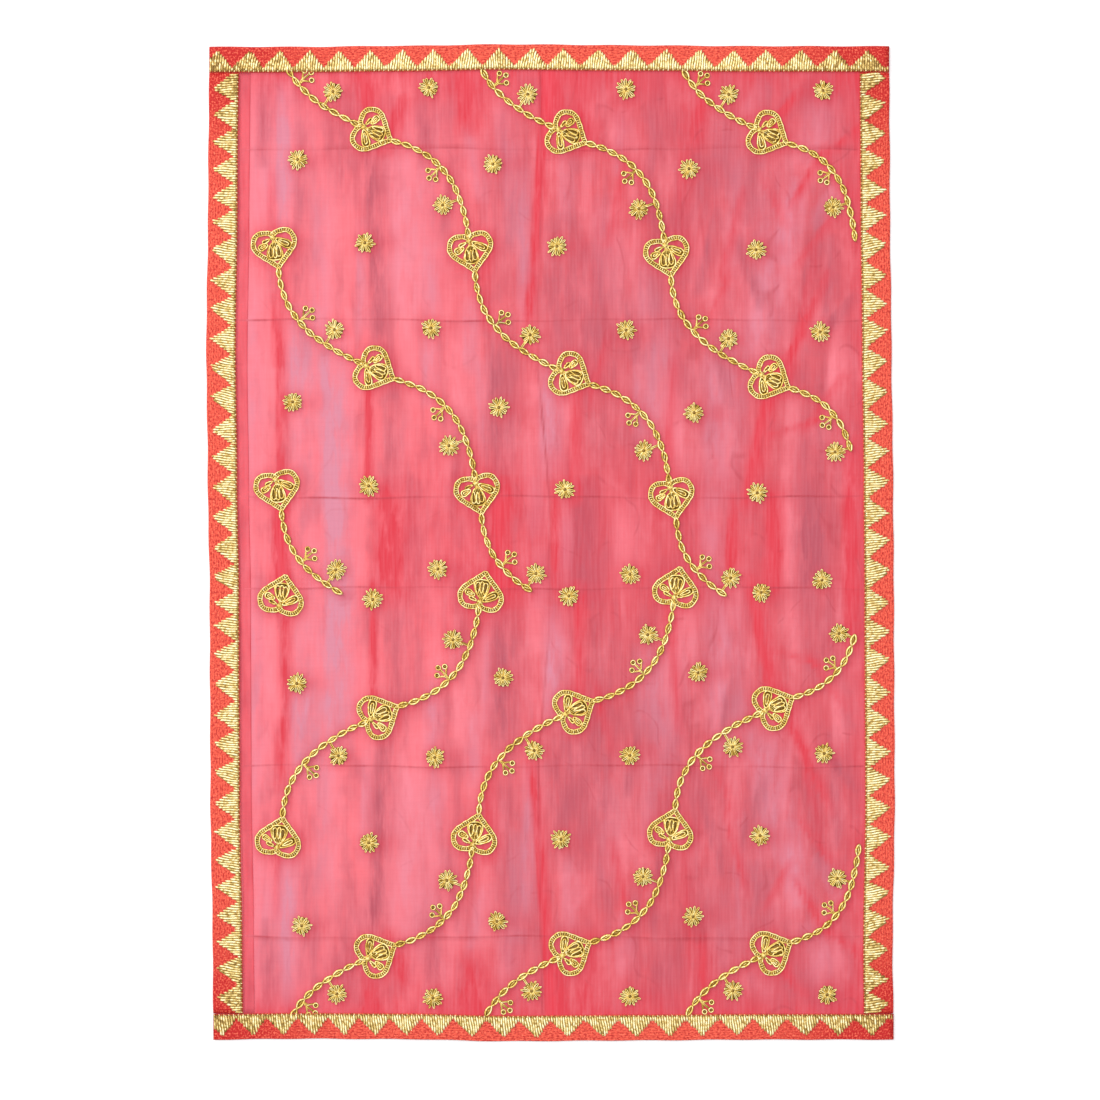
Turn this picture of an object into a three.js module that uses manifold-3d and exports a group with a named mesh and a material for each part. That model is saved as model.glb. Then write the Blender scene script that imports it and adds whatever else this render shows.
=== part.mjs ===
// A chunri laid flat: a sheer net veil, bound by four strips of lace and worked all over in gold thread.
// Millimetres. Z is up from the surface under the cloth, and Y runs along the cloth's longer side.

import * as THREE from 'three';
import Module from 'manifold-3d';

const wasm = await Module();
wasm.setup();

// The whole cloth
const veilWidth = 600;
const veilLength = 869;

// Walls and the space that a seam keeps
const netWall = 1.0;
const laceWall = 1.0;
const hemWall = 1.0;
const seamGap = 0.3;

// The lace strips, and the net's raw edge that lies hidden under them
const endLaceWidth = 22.5;
const sideLaceWidth = 26;
const rawEdgeInset = 2;
const laceColumns = 12;
const laceRows = 15;

// The net is turned in along its left side, and the turning shows inside the lace
const hemWidth = 9.5;

// How far the open net lies inside the cloth's left, right, top and bottom edges
const leftInset = sideLaceWidth + hemWidth + 2 * seamGap;
const rightInset = sideLaceWidth + seamGap;
const endInset = endLaceWidth + seamGap;

// The net's soft ripples die out before the hem and the lace
const calmReach = 34;
const netColumns = 34;
const netRows = 20;

// Gold thread work
const linkPitch = 10.2;
const linkHalfWidth = 2.8;
const linkWaist = 1.3;
const linkHeight = 1.0;
const cordHalfWidth = 2.2;
const cordHeight = 1.1;
const lotusHeight = 1.1;

// A flower or a spray of three berries: its lobes, the radii of their ends and waists,
// and the height of its middle
const flowerKind = { lobes: 8, outer: 9.2, waist: 6.4, height: 1.3 };
const berryKind = { lobes: 3, outer: 8.6, waist: 4.2, height: 1.1 };

// Each kind of stitch starts at its own small lift, so that no two undersides fall in one plane
const cordLift = 0.1;
const sprayLift = 0.2;
const lotusLift = 0.22;

// One half of a heart of couched cord, seen with its tip down, as three arcs: from the notch to the
// crown of the lobe, on to its widest place, and down to the tip. leave and arrive are the arcs' handles.
const heartArcs = [
  { from: [0, 12.4], leave: [2, 15], arrive: [5, 15.6], to: [10, 15.6] },
  { from: [10, 15.6], leave: [15.7, 15.6], arrive: [18.2, 10], to: [18.2, 5.1] },
  { from: [18.2, 5.1], leave: [18.2, -1], arrive: [6, -8.5], to: [0, -15.8] },
];
const heartNotch = heartArcs[0].from;
const heartTip = heartArcs[2].to;
const heartStations = 6;

// The lotus in a heart, seen with the heart's tip down: its middle, and the rim of its left half from the
// side petals round the bud. The right half is the same, turned over.
const lotusMiddle = { x: 0, y: 3 };
const lotusKnot = { x: 0, y: 12.4 };
const lotusBudEnd = { x: 0, y: -10.4 };
const lotusSide = [
  { x: -2.6, y: 9.6 },
  { x: -11.4, y: 4.6 },
  { x: -11.2, y: -1.4 },
  { x: -6.2, y: -1.2 },
  { x: -4.6, y: -8.2 },
];

// The lower half of the work is the upper half turned over, and moved a little to the right
const mirrorShift = 3.5;
const seamLine = -47;

// How far each edge lies inside the full width or length, down the two sides and along the two ends
const sideSway = [
  { y: 434.5, left: 2.6, right: 4.8 },
  { y: 299, left: 1.6, right: 4.2 },
  { y: 168, left: 0, right: 2.8 },
  { y: 55, left: 1.3, right: 1.4 },
  { y: -50, left: 3.0, right: 0.7 },
  { y: -224, left: 3.6, right: 0 },
  { y: -355, left: 5.6, right: 1.8 },
  { y: -434.5, left: 6.2, right: 1.0 },
];
const endSway = [
  { x: -300, top: 2.2, bottom: 1.3 },
  { x: -215, top: 2.2, bottom: 2.2 },
  { x: -130, top: 1.3, bottom: 1.8 },
  { x: -40, top: 0, bottom: 0 },
  { x: 80, top: 0.9, bottom: 0.7 },
  { x: 170, top: 1.6, bottom: 1.4 },
  { x: 300, top: 1.7, bottom: 1.4 },
];

// The net's ripples in its upper half. Each is a long low swell, its lean in degrees from the Y axis.
const ripples = [
  { x: -212, y: 300, length: 210, width: 48, height: 1.5, lean: 0 },
  { x: -242, y: 120, length: 200, width: 44, height: 1.6, lean: 1 },
  { x: -160, y: 104, length: 190, width: 46, height: 1.7, lean: -1 },
  { x: -136, y: 272, length: 190, width: 50, height: 1.6, lean: 2 },
  { x: -88, y: 100, length: 170, width: 50, height: 1.6, lean: 3 },
  { x: -46, y: 268, length: 200, width: 48, height: 1.5, lean: -2 },
  { x: 4, y: 320, length: 150, width: 46, height: 1.5, lean: 2 },
  { x: 26, y: 92, length: 170, width: 52, height: 1.8, lean: 4 },
  { x: 82, y: 286, length: 190, width: 52, height: 1.5, lean: 5 },
  { x: 118, y: 98, length: 180, width: 50, height: 1.6, lean: -4 },
  { x: 146, y: 246, length: 200, width: 48, height: 1.6, lean: 9 },
  { x: 190, y: 96, length: 180, width: 56, height: 2.1, lean: 12 },
  { x: 216, y: 270, length: 170, width: 50, height: 1.7, lean: 8 },
];

// The hearts of the upper half, by their middle. heading is the way from notch to tip, in degrees.
const uprightHeading = -79;
const restingHeading = -26;
const hearts = {
  u1: { x: -240, y: 255.7, heading: uprightHeading },
  u2: { x: -69, y: 252.7, heading: uprightHeading },
  u3: { x: 102, y: 248.7, heading: uprightHeading },
  u4: { x: -237.6, y: 44.7, heading: uprightHeading },
  u5: { x: -63.2, y: 41.6, heading: uprightHeading },
  u6: { x: 106.4, y: 37.7, heading: uprightHeading },
  s1: { x: -153.6, y: 357.8, heading: restingHeading },
  s2: { x: 16.1, y: 355.5, heading: restingHeading },
  s3: { x: 191.4, y: 355.2, heading: restingHeading },
  s4: { x: -151.3, y: 149.8, heading: restingHeading },
  s5: { x: 19.1, y: 145, heading: restingHeading },
  s6: { x: 193.1, y: 141.9, heading: restingHeading },
};

// Each vine by the hearts that it strings together. from and to say what its two ends run to.
const vines = [
  { name: 'a', hearts: ['s1', 'u2', 's5', 'u6'], from: 'edge', to: 'seam' },
  { name: 'b', hearts: ['s2', 'u3', 's6'], from: 'edge', to: 'flower' },
  { name: 'c', hearts: ['s3'], from: 'edge', to: 'edge' },
  { name: 'd', hearts: ['u1', 's4', 'u5'], from: 'heart', to: 'seam' },
  { name: 'e', hearts: ['u4'], from: 'heart', to: 'seam' },
];

// A chain falls from an upright heart, or reaches out from a resting one, to the next heart's notch
const fallStep = { dx: 72.4, dy: -82.8 };
const fall = { leave: -88, arrive: -23.5, leaveReach: 0.4, arriveReach: 0.39 };
const reachOut = { leave: -14, arrive: -82.5, leaveReach: 0.45, arriveReach: 0.41 };

// The last chain of a vine runs on as if to one more heart, which at the right side would lie past the edge
const edgeStep = { dx: 60, dy: -85.5 };
const flowerEndShare = 0.74;

// What hangs on a chain: at which share of its length, and how far to the left of its run
const fallSprays = { berryShare: 0.43, berryAside: 10.6, flowerShare: 0.68, flowerAside: 15 };
const reachSprays = { berryShare: 0.42, berryAside: -9.4, flowerShare: 0.7, flowerAside: -15.6 };
const edgeSprays = { berryShare: 0.42, berryAside: -9, flowerShare: 0.7, flowerAside: -13.5 };

// The free flowers of the upper half, in seven sloping rows. y is the row's height in the middle.
const flowerRows = [
  { y: 395.8, slope: -0.008, across: [-105.9, 65.8, 237.6] },
  { y: 328.7, slope: -0.023, across: [-220.2, -50.1, 120.8] },
  { y: 258.5, slope: -0.018, across: [-161.8, 5.7, 179.2] },
  { y: 186, slope: -0.01, across: [-104.2, 65.8, 235] },
  { y: 116.6, slope: -0.027, across: [-224.5, -44.9, 125.1] },
  { y: 46.6, slope: -0.018, across: [-158.3, 12.6, 180.1] },
  { y: -25.7, slope: -0.029, across: [-98.1, 69.3, 236.7] },
];

const netPink = new THREE.MeshStandardMaterial({ color: 0xe8697a, roughness: 0.55, metalness: 0 });
const hemPink = new THREE.MeshStandardMaterial({ color: 0xe2595f, roughness: 0.6, metalness: 0 });
const laceRed = new THREE.MeshStandardMaterial({ color: 0xe2473a, roughness: 0.7, metalness: 0 });
const gold = new THREE.MeshStandardMaterial({ color: 0xd9b956, roughness: 0.35, metalness: 0.8 });

function radians(degrees) {
  return THREE.MathUtils.degToRad(degrees);
}

// A value from a table's named column, eased between its rows
function eased(table, key, column, value) {
  const rows = [...table].sort((a, b) => a[key] - b[key]);
  if (value <= rows[0][key]) return rows[0][column];
  for (let i = 1; i < rows.length; i += 1) {
    if (value > rows[i][key]) continue;
    const share = (value - rows[i - 1][key]) / (rows[i][key] - rows[i - 1][key]);
    const soft = THREE.MathUtils.smoothstep(share, 0, 1);
    return THREE.MathUtils.lerp(rows[i - 1][column], rows[i][column], soft);
  }
  return rows[rows.length - 1][column];
}

function leftEdge(y) {
  return -veilWidth / 2 + eased(sideSway, 'y', 'left', y);
}

function rightEdge(y) {
  return veilWidth / 2 - eased(sideSway, 'y', 'right', y);
}

function topEdge(x) {
  return veilLength / 2 - eased(endSway, 'x', 'top', x);
}

function bottomEdge(x) {
  return -veilLength / 2 + eased(endSway, 'x', 'bottom', x);
}

// The height of the net's smooth underside over the surface
function swell(x, y) {
  let height = 0;
  for (const ripple of ripples) {
    const lean = radians(ripple.lean);
    const dx = x - ripple.x;
    const dy = y - ripple.y;
    const across = dx * Math.cos(lean) - dy * Math.sin(lean);
    const along = dx * Math.sin(lean) + dy * Math.cos(lean);
    const end = 1 - (2 * along / ripple.length) ** 2;
    if (Math.abs(across) > ripple.width / 2 || end < 0) continue;
    height += ripple.height * Math.cos(Math.PI * across / ripple.width) ** 2 * end ** 2;
  }
  return height;
}

function underside(x, y) {
  const side = Math.min(x - leftEdge(y), rightEdge(y) - x) - leftInset;
  const end = Math.min(topEdge(x) - y, y - bottomEdge(x)) - endLaceWidth;
  const calm = THREE.MathUtils.smoothstep(Math.min(side, end), 0, calmReach);
  return calm * (swell(x, y) + swell(x - mirrorShift, -y));
}

// The net's grid: u and v are the shares across and along the cloth
function netPoint(u, v) {
  const roughY = THREE.MathUtils.lerp(-veilLength / 2, veilLength / 2, v);
  const x = THREE.MathUtils.lerp(leftEdge(roughY) + rawEdgeInset, rightEdge(roughY) - rawEdgeInset, u);
  const y = THREE.MathUtils.lerp(bottomEdge(x) + rawEdgeInset, topEdge(x) - rawEdgeInset, v);
  return new THREE.Vector3(x, y, underside(x, y));
}

// The height of the net's flat facets at a place, from the corners of the grid cell there
function facetHeight(x, y) {
  const low = bottomEdge(x) + rawEdgeInset;
  const v = (y - low) / (topEdge(x) - rawEdgeInset - low);
  const roughY = THREE.MathUtils.lerp(-veilLength / 2, veilLength / 2, v);
  const near = leftEdge(roughY) + rawEdgeInset;
  const u = (x - near) / (rightEdge(roughY) - rawEdgeInset - near);
  const i = THREE.MathUtils.clamp(Math.floor(u * netColumns), 0, netColumns - 1);
  const j = THREE.MathUtils.clamp(Math.floor(v * netRows), 0, netRows - 1);
  const fu = u * netColumns - i;
  const fv = v * netRows - j;
  const corner = (a, b) => netPoint((i + a) / netColumns, (j + b) / netRows).z;
  if (fu > fv) return corner(0, 0) * (1 - fu) + corner(1, 0) * (fu - fv) + corner(1, 1) * fv;
  return corner(0, 0) * (1 - fv) + corner(0, 1) * (fv - fu) + corner(1, 1) * fu;
}

// Where stitches lie: just clear of the net, on its smooth form and on its facets
function seat(x, y) {
  return Math.max(underside(x, y), facetHeight(x, y)) + netWall + seamGap;
}

// A wall over a grid of stations, closed on every side. low(i, j) is the point under station i, j.
function wallBody(columns, rows, thickness, low) {
  const points = [];
  const faces = [];
  for (const lift of [0, thickness]) {
    for (let i = 0; i <= columns; i += 1) {
      for (let j = 0; j <= rows; j += 1) {
        const point = low(i, j);
        points.push([point.x, point.y, point.z + lift]);
      }
    }
  }
  const at = (layer, i, j) => (layer * (columns + 1) + i) * (rows + 1) + j;
  const quad = (a, b, c, d) => faces.push([a, b, c], [a, c, d]);
  for (let i = 0; i < columns; i += 1) {
    for (let j = 0; j < rows; j += 1) {
      quad(at(1, i, j), at(1, i + 1, j), at(1, i + 1, j + 1), at(1, i, j + 1));
      faces.push([at(0, i, j), at(0, i + 1, j + 1), at(0, i + 1, j)]);
      faces.push([at(0, i, j), at(0, i, j + 1), at(0, i + 1, j + 1)]);
    }
    quad(at(0, i, 0), at(0, i + 1, 0), at(1, i + 1, 0), at(1, i, 0));
    quad(at(0, i + 1, rows), at(0, i, rows), at(1, i, rows), at(1, i + 1, rows));
  }
  for (let j = 0; j < rows; j += 1) {
    quad(at(0, 0, j + 1), at(0, 0, j), at(1, 0, j), at(1, 0, j + 1));
    quad(at(0, columns, j), at(0, columns, j + 1), at(1, columns, j + 1), at(1, columns, j));
  }
  return { points, faces };
}

function meshOf(name, body, material) {
  const geometry = new THREE.BufferGeometry();
  geometry.setAttribute('position', new THREE.Float32BufferAttribute(body.points.flat(), 3));
  geometry.setIndex(body.faces.flat());
  geometry.computeVertexNormals();
  const mesh = new THREE.Mesh(geometry, material);
  mesh.name = name;
  return mesh;
}

function solidOf(body) {
  const vertProperties = new Float32Array(body.points.flat());
  const triVerts = new Uint32Array(body.faces.flat());
  return new wasm.Manifold(new wasm.Mesh({ numProp: 3, vertProperties, triVerts }));
}

function bodyOf(solid) {
  const { numProp, vertProperties, triVerts } = solid.getMesh();
  const points = [];
  const faces = [];
  for (let i = 0; i < vertProperties.length; i += numProp) {
    points.push([vertProperties[i], vertProperties[i + 1], vertProperties[i + 2]]);
  }
  for (let i = 0; i < triVerts.length; i += 3) {
    faces.push([triVerts[i], triVerts[i + 1], triVerts[i + 2]]);
  }
  return { points, faces };
}

// A couched thread: a low roof along a line, with a half width and a height at each station
function threadBody(line, closed, lift, halfWidthAt, heightAt) {
  const points = [];
  const faces = [];
  const count = line.length;
  for (let i = 0; i < count; i += 1) {
    const before = line[closed ? (i + count - 1) % count : Math.max(i - 1, 0)];
    const after = line[closed ? (i + 1) % count : Math.min(i + 1, count - 1)];
    const side = new THREE.Vector2(before.y - after.y, after.x - before.x).normalize();
    for (const reach of [halfWidthAt(i), -halfWidthAt(i)]) {
      const x = line[i].x + side.x * reach;
      const y = line[i].y + side.y * reach;
      points.push([x, y, seat(x, y) + lift]);
    }
    points.push([line[i].x, line[i].y, seat(line[i].x, line[i].y) + lift + heightAt(i)]);
  }
  const spans = closed ? count : count - 1;
  for (let i = 0; i < spans; i += 1) {
    const a = 3 * i;
    const b = 3 * ((i + 1) % count);
    faces.push([a, b, b + 1], [a, b + 1, a + 1]);
    faces.push([a + 1, b + 1, b + 2], [a + 1, b + 2, a + 2]);
    faces.push([a + 2, b + 2, b], [a + 2, b, a]);
  }
  if (!closed) {
    const last = 3 * (count - 1);
    faces.push([0, 1, 2], [last, last + 2, last + 1]);
  }
  return { points, faces };
}

// A low peak over a rim: a flower, a berry spray or a petal
function peakBody(middle, rim, lift, height) {
  const floor = (x, y) => seat(x, y) + lift;
  const points = rim.map((p) => [p.x, p.y, floor(p.x, p.y)]);
  const low = points.push([middle.x, middle.y, floor(middle.x, middle.y)]) - 1;
  const high = points.push([middle.x, middle.y, floor(middle.x, middle.y) + height]) - 1;
  const area = rim.reduce((sum, p, i) => {
    const next = rim[(i + 1) % rim.length];
    return sum + p.x * next.y - next.x * p.y;
  }, 0);
  const faces = [];
  rim.forEach((p, i) => {
    const j = (i + 1) % rim.length;
    if (area > 0) faces.push([i, j, high], [j, i, low]);
    else faces.push([j, i, high], [i, j, low]);
  });
  return { points, faces };
}

// A rim that swings between two radii, once for each lobe, the first lobe lying at the given turn
function lobedRim(middle, kind, turn) {
  return Array.from({ length: 2 * kind.lobes }, (unused, i) => {
    const angle = turn + Math.PI * i / kind.lobes;
    const radius = i % 2 === 0 ? kind.outer : kind.waist;
    return new THREE.Vector2(middle.x + radius * Math.cos(angle), middle.y + radius * Math.sin(angle));
  });
}

function flowerBody(middle) {
  return peakBody(middle, lobedRim(middle, flowerKind, 0), 0, flowerKind.height);
}

// One half of a heart's line from its notch round the lobe to its tip, side being 1 or -1
function heartSide(side) {
  const half = new THREE.CurvePath();
  const point = ([x, y]) => new THREE.Vector2(side * x, y);
  for (const { from, leave, arrive, to } of heartArcs) {
    half.add(new THREE.CubicBezierCurve(point(from), point(leave), point(arrive), point(to)));
  }
  return half.getSpacedPoints(heartStations);
}

// Turns a point of a heart seen tip down into its place on the cloth
function onHeart(heart, point) {
  const turn = radians(heart.heading + 90);
  const placed = point.clone().rotateAround(new THREE.Vector2(0, 0), turn);
  return new THREE.Vector2(placed.x + heart.x, placed.y + heart.y);
}

function heartTipOf(heart) {
  return onHeart(heart, new THREE.Vector2(...heartTip));
}

function heartNotchOf(heart) {
  return onHeart(heart, new THREE.Vector2(...heartNotch));
}

// The outline ring, and the lotus that hangs in it from the notch
function heartBodies(heart, place) {
  const right = heartSide(1);
  const left = heartSide(-1).slice(1, -1).reverse();
  const ring = [...right, ...left].map((p) => place(onHeart(heart, p)));
  const placed = ({ x, y }) => place(onHeart(heart, new THREE.Vector2(x, y)));
  const turnedSide = lotusSide.map(({ x, y }) => ({ x: -x, y })).reverse();
  const rim = [...lotusSide, lotusBudEnd, ...turnedSide, lotusKnot].map(placed);
  return [
    threadBody(ring, true, cordLift, () => cordHalfWidth, () => cordHeight),
    peakBody(placed(lotusMiddle), rim, lotusLift, lotusHeight),
  ];
}

// The run of a chain between two points, from the directions in which it leaves and arrives
function chainCurve(start, end, run) {
  const span = start.distanceTo(end);
  const leave = new THREE.Vector2(Math.cos(radians(run.leave)), Math.sin(radians(run.leave)));
  const arrive = new THREE.Vector2(Math.cos(radians(run.arrive)), Math.sin(radians(run.arrive)));
  const first = start.clone().addScaledVector(leave, span * run.leaveReach);
  const second = end.clone().addScaledVector(arrive, -span * run.arriveReach);
  return new THREE.CubicBezierCurve(start, first, second, end);
}

// Pointed links in a row, each a swelling of the thread between two waists. Whole ones stop at the lace.
function chainBody(curve, until, place, keep) {
  const links = Math.round(curve.getLength() / linkPitch);
  const line = curve.getSpacedPoints(2 * links).slice(0, 1 + 2 * Math.round(links * until));
  const clear = (p) => p.x < rightEdge(p.y) - rightInset - linkHalfWidth;
  const halfWidth = (i) => (i % 2 === 0 ? linkWaist : linkHalfWidth);
  return threadBody(line.filter(keep).map(place).filter(clear), false, 0, halfWidth, () => linkHeight);
}

// A flower or three berries beside a chain, the lobe nearest the chain drawn out to a stem
function sprayBody(curve, share, aside, place, kind) {
  const root = curve.getPointAt(share);
  const along = curve.getTangentAt(share);
  const head = new THREE.Vector2(root.x - along.y * aside, root.y + along.x * aside);
  const rim = lobedRim(head, kind, root.clone().sub(head).angle());
  rim[0] = root;
  return peakBody(place(head), rim.map(place), sprayLift, kind.height);
}

// Every chain of a vine, with the run that it follows
function vineChains(vine) {
  const chains = [];
  const first = hearts[vine.hearts[0]];
  if (vine.from === 'edge') {
    const notch = heartNotchOf(first);
    const start = new THREE.Vector2(notch.x - fallStep.dx, notch.y - fallStep.dy);
    chains.push({ run: fall, sprays: fallSprays, start, end: notch, until: 1 });
  }
  vine.hearts.forEach((key, i) => {
    const falling = hearts[key].heading === uprightHeading;
    const run = falling ? fall : reachOut;
    const start = heartTipOf(hearts[key]);
    const next = vine.hearts[i + 1];
    const atEdge = !next && !falling;
    const step = atEdge ? edgeStep : fallStep;
    const end = next ? heartNotchOf(hearts[next]) : new THREE.Vector2(start.x + step.dx, start.y + step.dy);
    const until = !next && vine.to === 'flower' ? flowerEndShare : 1;
    let sprays = falling ? fallSprays : reachSprays;
    if (atEdge) sprays = edgeSprays;
    chains.push({ run, sprays, start, end, until, open: !next && vine.to === 'seam' });
  });
  return chains;
}

// All the thread work of one vine, in the upper half or turned over for the lower one
function vineBodies(vine, lower) {
  const place = lower ? (p) => new THREE.Vector2(p.x + mirrorShift, -p.y) : (p) => p.clone();
  const bodies = vine.hearts.flatMap((key) => heartBodies(hearts[key], place));
  for (const { run, sprays, start, end, until, open } of vineChains(vine)) {
    if (open && lower) continue;
    const curve = chainCurve(start, end, run);
    bodies.push(chainBody(curve, until, place, (p) => !open || p.y > seamLine));
    bodies.push(sprayBody(curve, sprays.berryShare, sprays.berryAside, place, berryKind));
    bodies.push(sprayBody(curve, sprays.flowerShare, sprays.flowerAside, place, flowerKind));
  }
  return bodies;
}

// The part of the net that the lace and the hem leave free, as a block taller than any stitch
function openField() {
  const depth = 10;
  return solidOf(wallBody(laceColumns, netRows, 2 * depth, (i, j) => {
    const roughY = THREE.MathUtils.lerp(-veilLength / 2, veilLength / 2, j / netRows);
    const near = leftEdge(roughY) + leftInset;
    const far = rightEdge(roughY) - rightInset;
    const x = THREE.MathUtils.lerp(near, far, i / laceColumns);
    const y = THREE.MathUtils.lerp(bottomEdge(x) + endInset, topEdge(x) - endInset, j / netRows);
    return new THREE.Vector3(x, y, -depth);
  }));
}

// Stitches joined to one body, ending where the lace or the hem covers them
function joined(bodies) {
  const whole = bodies.map(solidOf).reduce((sum, solid) => sum.add(solid));
  return bodyOf(whole.intersect(openField()));
}

// A strip that runs up a side on the net, between the lace of the two ends. from and to give its edges.
function sideStrip(wall, from, to) {
  return wallBody(1, laceRows, wall, (i, j) => {
    const roughY = THREE.MathUtils.lerp(-veilLength / 2, veilLength / 2, j / laceRows);
    const x = i === 0 ? from(roughY) : to(roughY);
    const y = THREE.MathUtils.lerp(bottomEdge(x) + endInset, topEdge(x) - endInset, j / laceRows);
    return new THREE.Vector3(x, y, netWall + seamGap);
  });
}

// A strip of lace that runs the full width on the net, side being 1 at the top and -1 at the bottom
function endStrip(outer, side) {
  return wallBody(laceColumns, 1, laceWall, (i, j) => {
    const cornerY = side * veilLength / 2;
    const x = THREE.MathUtils.lerp(leftEdge(cornerY), rightEdge(cornerY), i / laceColumns);
    const inner = outer(x) - side * endLaceWidth;
    const y = j === 0 ? Math.min(outer(x), inner) : Math.max(outer(x), inner);
    return new THREE.Vector3(x, y, netWall + seamGap);
  });
}

function laceMeshes() {
  const left = sideStrip(laceWall, leftEdge, (y) => leftEdge(y) + sideLaceWidth);
  const right = sideStrip(laceWall, (y) => rightEdge(y) - sideLaceWidth, rightEdge);
  return [
    meshOf('lace_top', endStrip(topEdge, 1), laceRed),
    meshOf('lace_bottom', endStrip(bottomEdge, -1), laceRed),
    meshOf('lace_left', left, laceRed),
    meshOf('lace_right', right, laceRed),
  ];
}

// The turned side of the net, which shows as a darker band beside the lace
function hemMesh() {
  const from = (y) => leftEdge(y) + sideLaceWidth + seamGap;
  return meshOf('hem_left', sideStrip(hemWall, from, (y) => from(y) + hemWidth), hemPink);
}

function netMesh() {
  const low = (i, j) => netPoint(i / netColumns, j / netRows);
  return meshOf('net_panel', wallBody(netColumns, netRows, netWall, low), netPink);
}

function vineMeshes() {
  return vines.flatMap((vine) => [
    meshOf(`vine_${vine.name}_upper`, joined(vineBodies(vine, false)), gold),
    meshOf(`vine_${vine.name}_lower`, joined(vineBodies(vine, true)), gold),
  ]);
}

function flowerMeshes() {
  const meshes = [];
  for (const lower of [false, true]) {
    flowerRows.forEach((row, r) => row.across.forEach((x, c) => {
      const y = row.y + row.slope * x;
      if (lower && y < 0) return;
      const middle = lower ? new THREE.Vector2(x + mirrorShift, -y) : new THREE.Vector2(x, y);
      const name = `flower_${lower ? 'lower' : 'upper'}_${r + 1}_${c + 1}`;
      meshes.push(meshOf(name, flowerBody(middle), gold));
    }));
  }
  return meshes;
}

const chunri = new THREE.Group();
chunri.add(netMesh(), ...laceMeshes(), hemMesh(), ...vineMeshes(), ...flowerMeshes());

export default chunri;
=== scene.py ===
# %% [markdown]
# A chunri laid flat, finished in Blender.
#
# A chunri is a small veil of sheer net, offered or worn at festivals. This one has a woven lace sewn
# round it and gold thread worked over the whole field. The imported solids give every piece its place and
# size. This script puts the real cloth, ribbon and thread in their place, a step at a time.

import bpy
import numpy as np
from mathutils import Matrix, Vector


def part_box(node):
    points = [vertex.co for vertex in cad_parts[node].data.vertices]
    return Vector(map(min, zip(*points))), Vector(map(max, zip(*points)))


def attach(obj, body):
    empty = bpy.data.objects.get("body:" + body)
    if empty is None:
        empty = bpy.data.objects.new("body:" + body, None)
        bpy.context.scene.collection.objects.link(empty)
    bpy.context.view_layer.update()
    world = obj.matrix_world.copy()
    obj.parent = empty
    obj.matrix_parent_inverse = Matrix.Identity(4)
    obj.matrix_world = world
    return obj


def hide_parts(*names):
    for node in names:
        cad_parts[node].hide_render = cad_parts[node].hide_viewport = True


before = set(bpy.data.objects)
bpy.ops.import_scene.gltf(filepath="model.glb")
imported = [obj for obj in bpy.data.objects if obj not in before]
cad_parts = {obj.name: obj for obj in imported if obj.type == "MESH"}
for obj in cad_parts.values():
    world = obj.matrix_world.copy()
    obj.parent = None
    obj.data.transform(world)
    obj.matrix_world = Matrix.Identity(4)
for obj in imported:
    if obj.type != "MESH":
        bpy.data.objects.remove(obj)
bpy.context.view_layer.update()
rng = np.random.default_rng(11)
print("solids to dress:", len(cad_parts))

# %% [markdown]
# The builders below think in millimetres, as a tailor does, and Blender works in metres. One value does
# the change, where a mesh is made.
#
# Each piece is made from plain arrays of points and faces. That keeps one rule for every piece, from a
# ribbon to a flower of fourteen loops, and it makes big joined meshes quickly. A piece may also carry
# numbers on its points, such as how much painted light and shade a fold carries, which its material
# reads later.

# %% A helper that turns arrays into a piece
MM = 0.001


def make_piece(name, points, faces, material, notes=None, smooth=True):
    mesh = bpy.data.meshes.new(name)
    mesh.from_pydata((np.asarray(points, float) * MM).tolist(), [], [tuple(f) for f in faces])
    mesh.update()
    for note, values in (notes or {}).items():
        layer = mesh.attributes.new(note, "FLOAT", "POINT")
        layer.data.foreach_set("value", np.asarray(values, np.float32))
    mesh.polygons.foreach_set("use_smooth", [smooth] * len(mesh.polygons))
    mesh.materials.append(material)
    piece = bpy.data.objects.new(name, mesh)
    bpy.context.scene.collection.objects.link(piece)
    return piece


def ease(share):
    """A share from 0 to 1 that starts and stops softly."""
    share = np.clip(share, 0, 1)
    return share * share * (3 - 2 * share)


print("a quarter of the way eases to", ease(0.25))

# %% [markdown]
# The cloth's outline. Hand cut cloth is never quite straight: the sides of this one wander by a few
# millimetres. Two short tables say how far each edge lies inside the full width and length, and the
# values between two rows are eased, so the edge runs in one soft line. The solids use the same tables.

# %% The outline of the cloth
VEIL_WIDTH = 600.0
VEIL_LENGTH = 869.0
SIDE_SWAY = {
    "y": [-434.5, -355, -224, -50, 55, 168, 299, 434.5],
    "left": [6.2, 5.6, 3.6, 3.0, 1.3, 0, 1.6, 2.6],
    "right": [1.0, 1.8, 0, 0.7, 1.4, 2.8, 4.2, 4.8],
}
END_SWAY = {
    "x": [-300, -215, -130, -40, 80, 170, 300],
    "top": [2.2, 2.2, 1.3, 0, 0.9, 1.6, 1.7],
    "bottom": [1.3, 2.2, 1.8, 0, 0.7, 1.4, 1.4],
}


def eased(table, key, column, value):
    stations = np.asarray(table[key], float)
    sizes = np.asarray(table[column], float)
    value = np.clip(value, stations[0], stations[-1])
    row = np.clip(np.searchsorted(stations, value) - 1, 0, len(stations) - 2)
    share = ease((value - stations[row]) / (stations[row + 1] - stations[row]))
    return sizes[row] * (1 - share) + sizes[row + 1] * share


def left_edge(y):
    return -VEIL_WIDTH / 2 + eased(SIDE_SWAY, "y", "left", y)


def right_edge(y):
    return VEIL_WIDTH / 2 - eased(SIDE_SWAY, "y", "right", y)


def top_edge(x):
    return VEIL_LENGTH / 2 - eased(END_SWAY, "x", "top", x)


def bottom_edge(x):
    return -VEIL_LENGTH / 2 + eased(END_SWAY, "x", "bottom", x)


lowest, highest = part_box("net_panel")
print("net in the frame:", [round(v / MM, 1) for v in (*lowest, *highest)])

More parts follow.
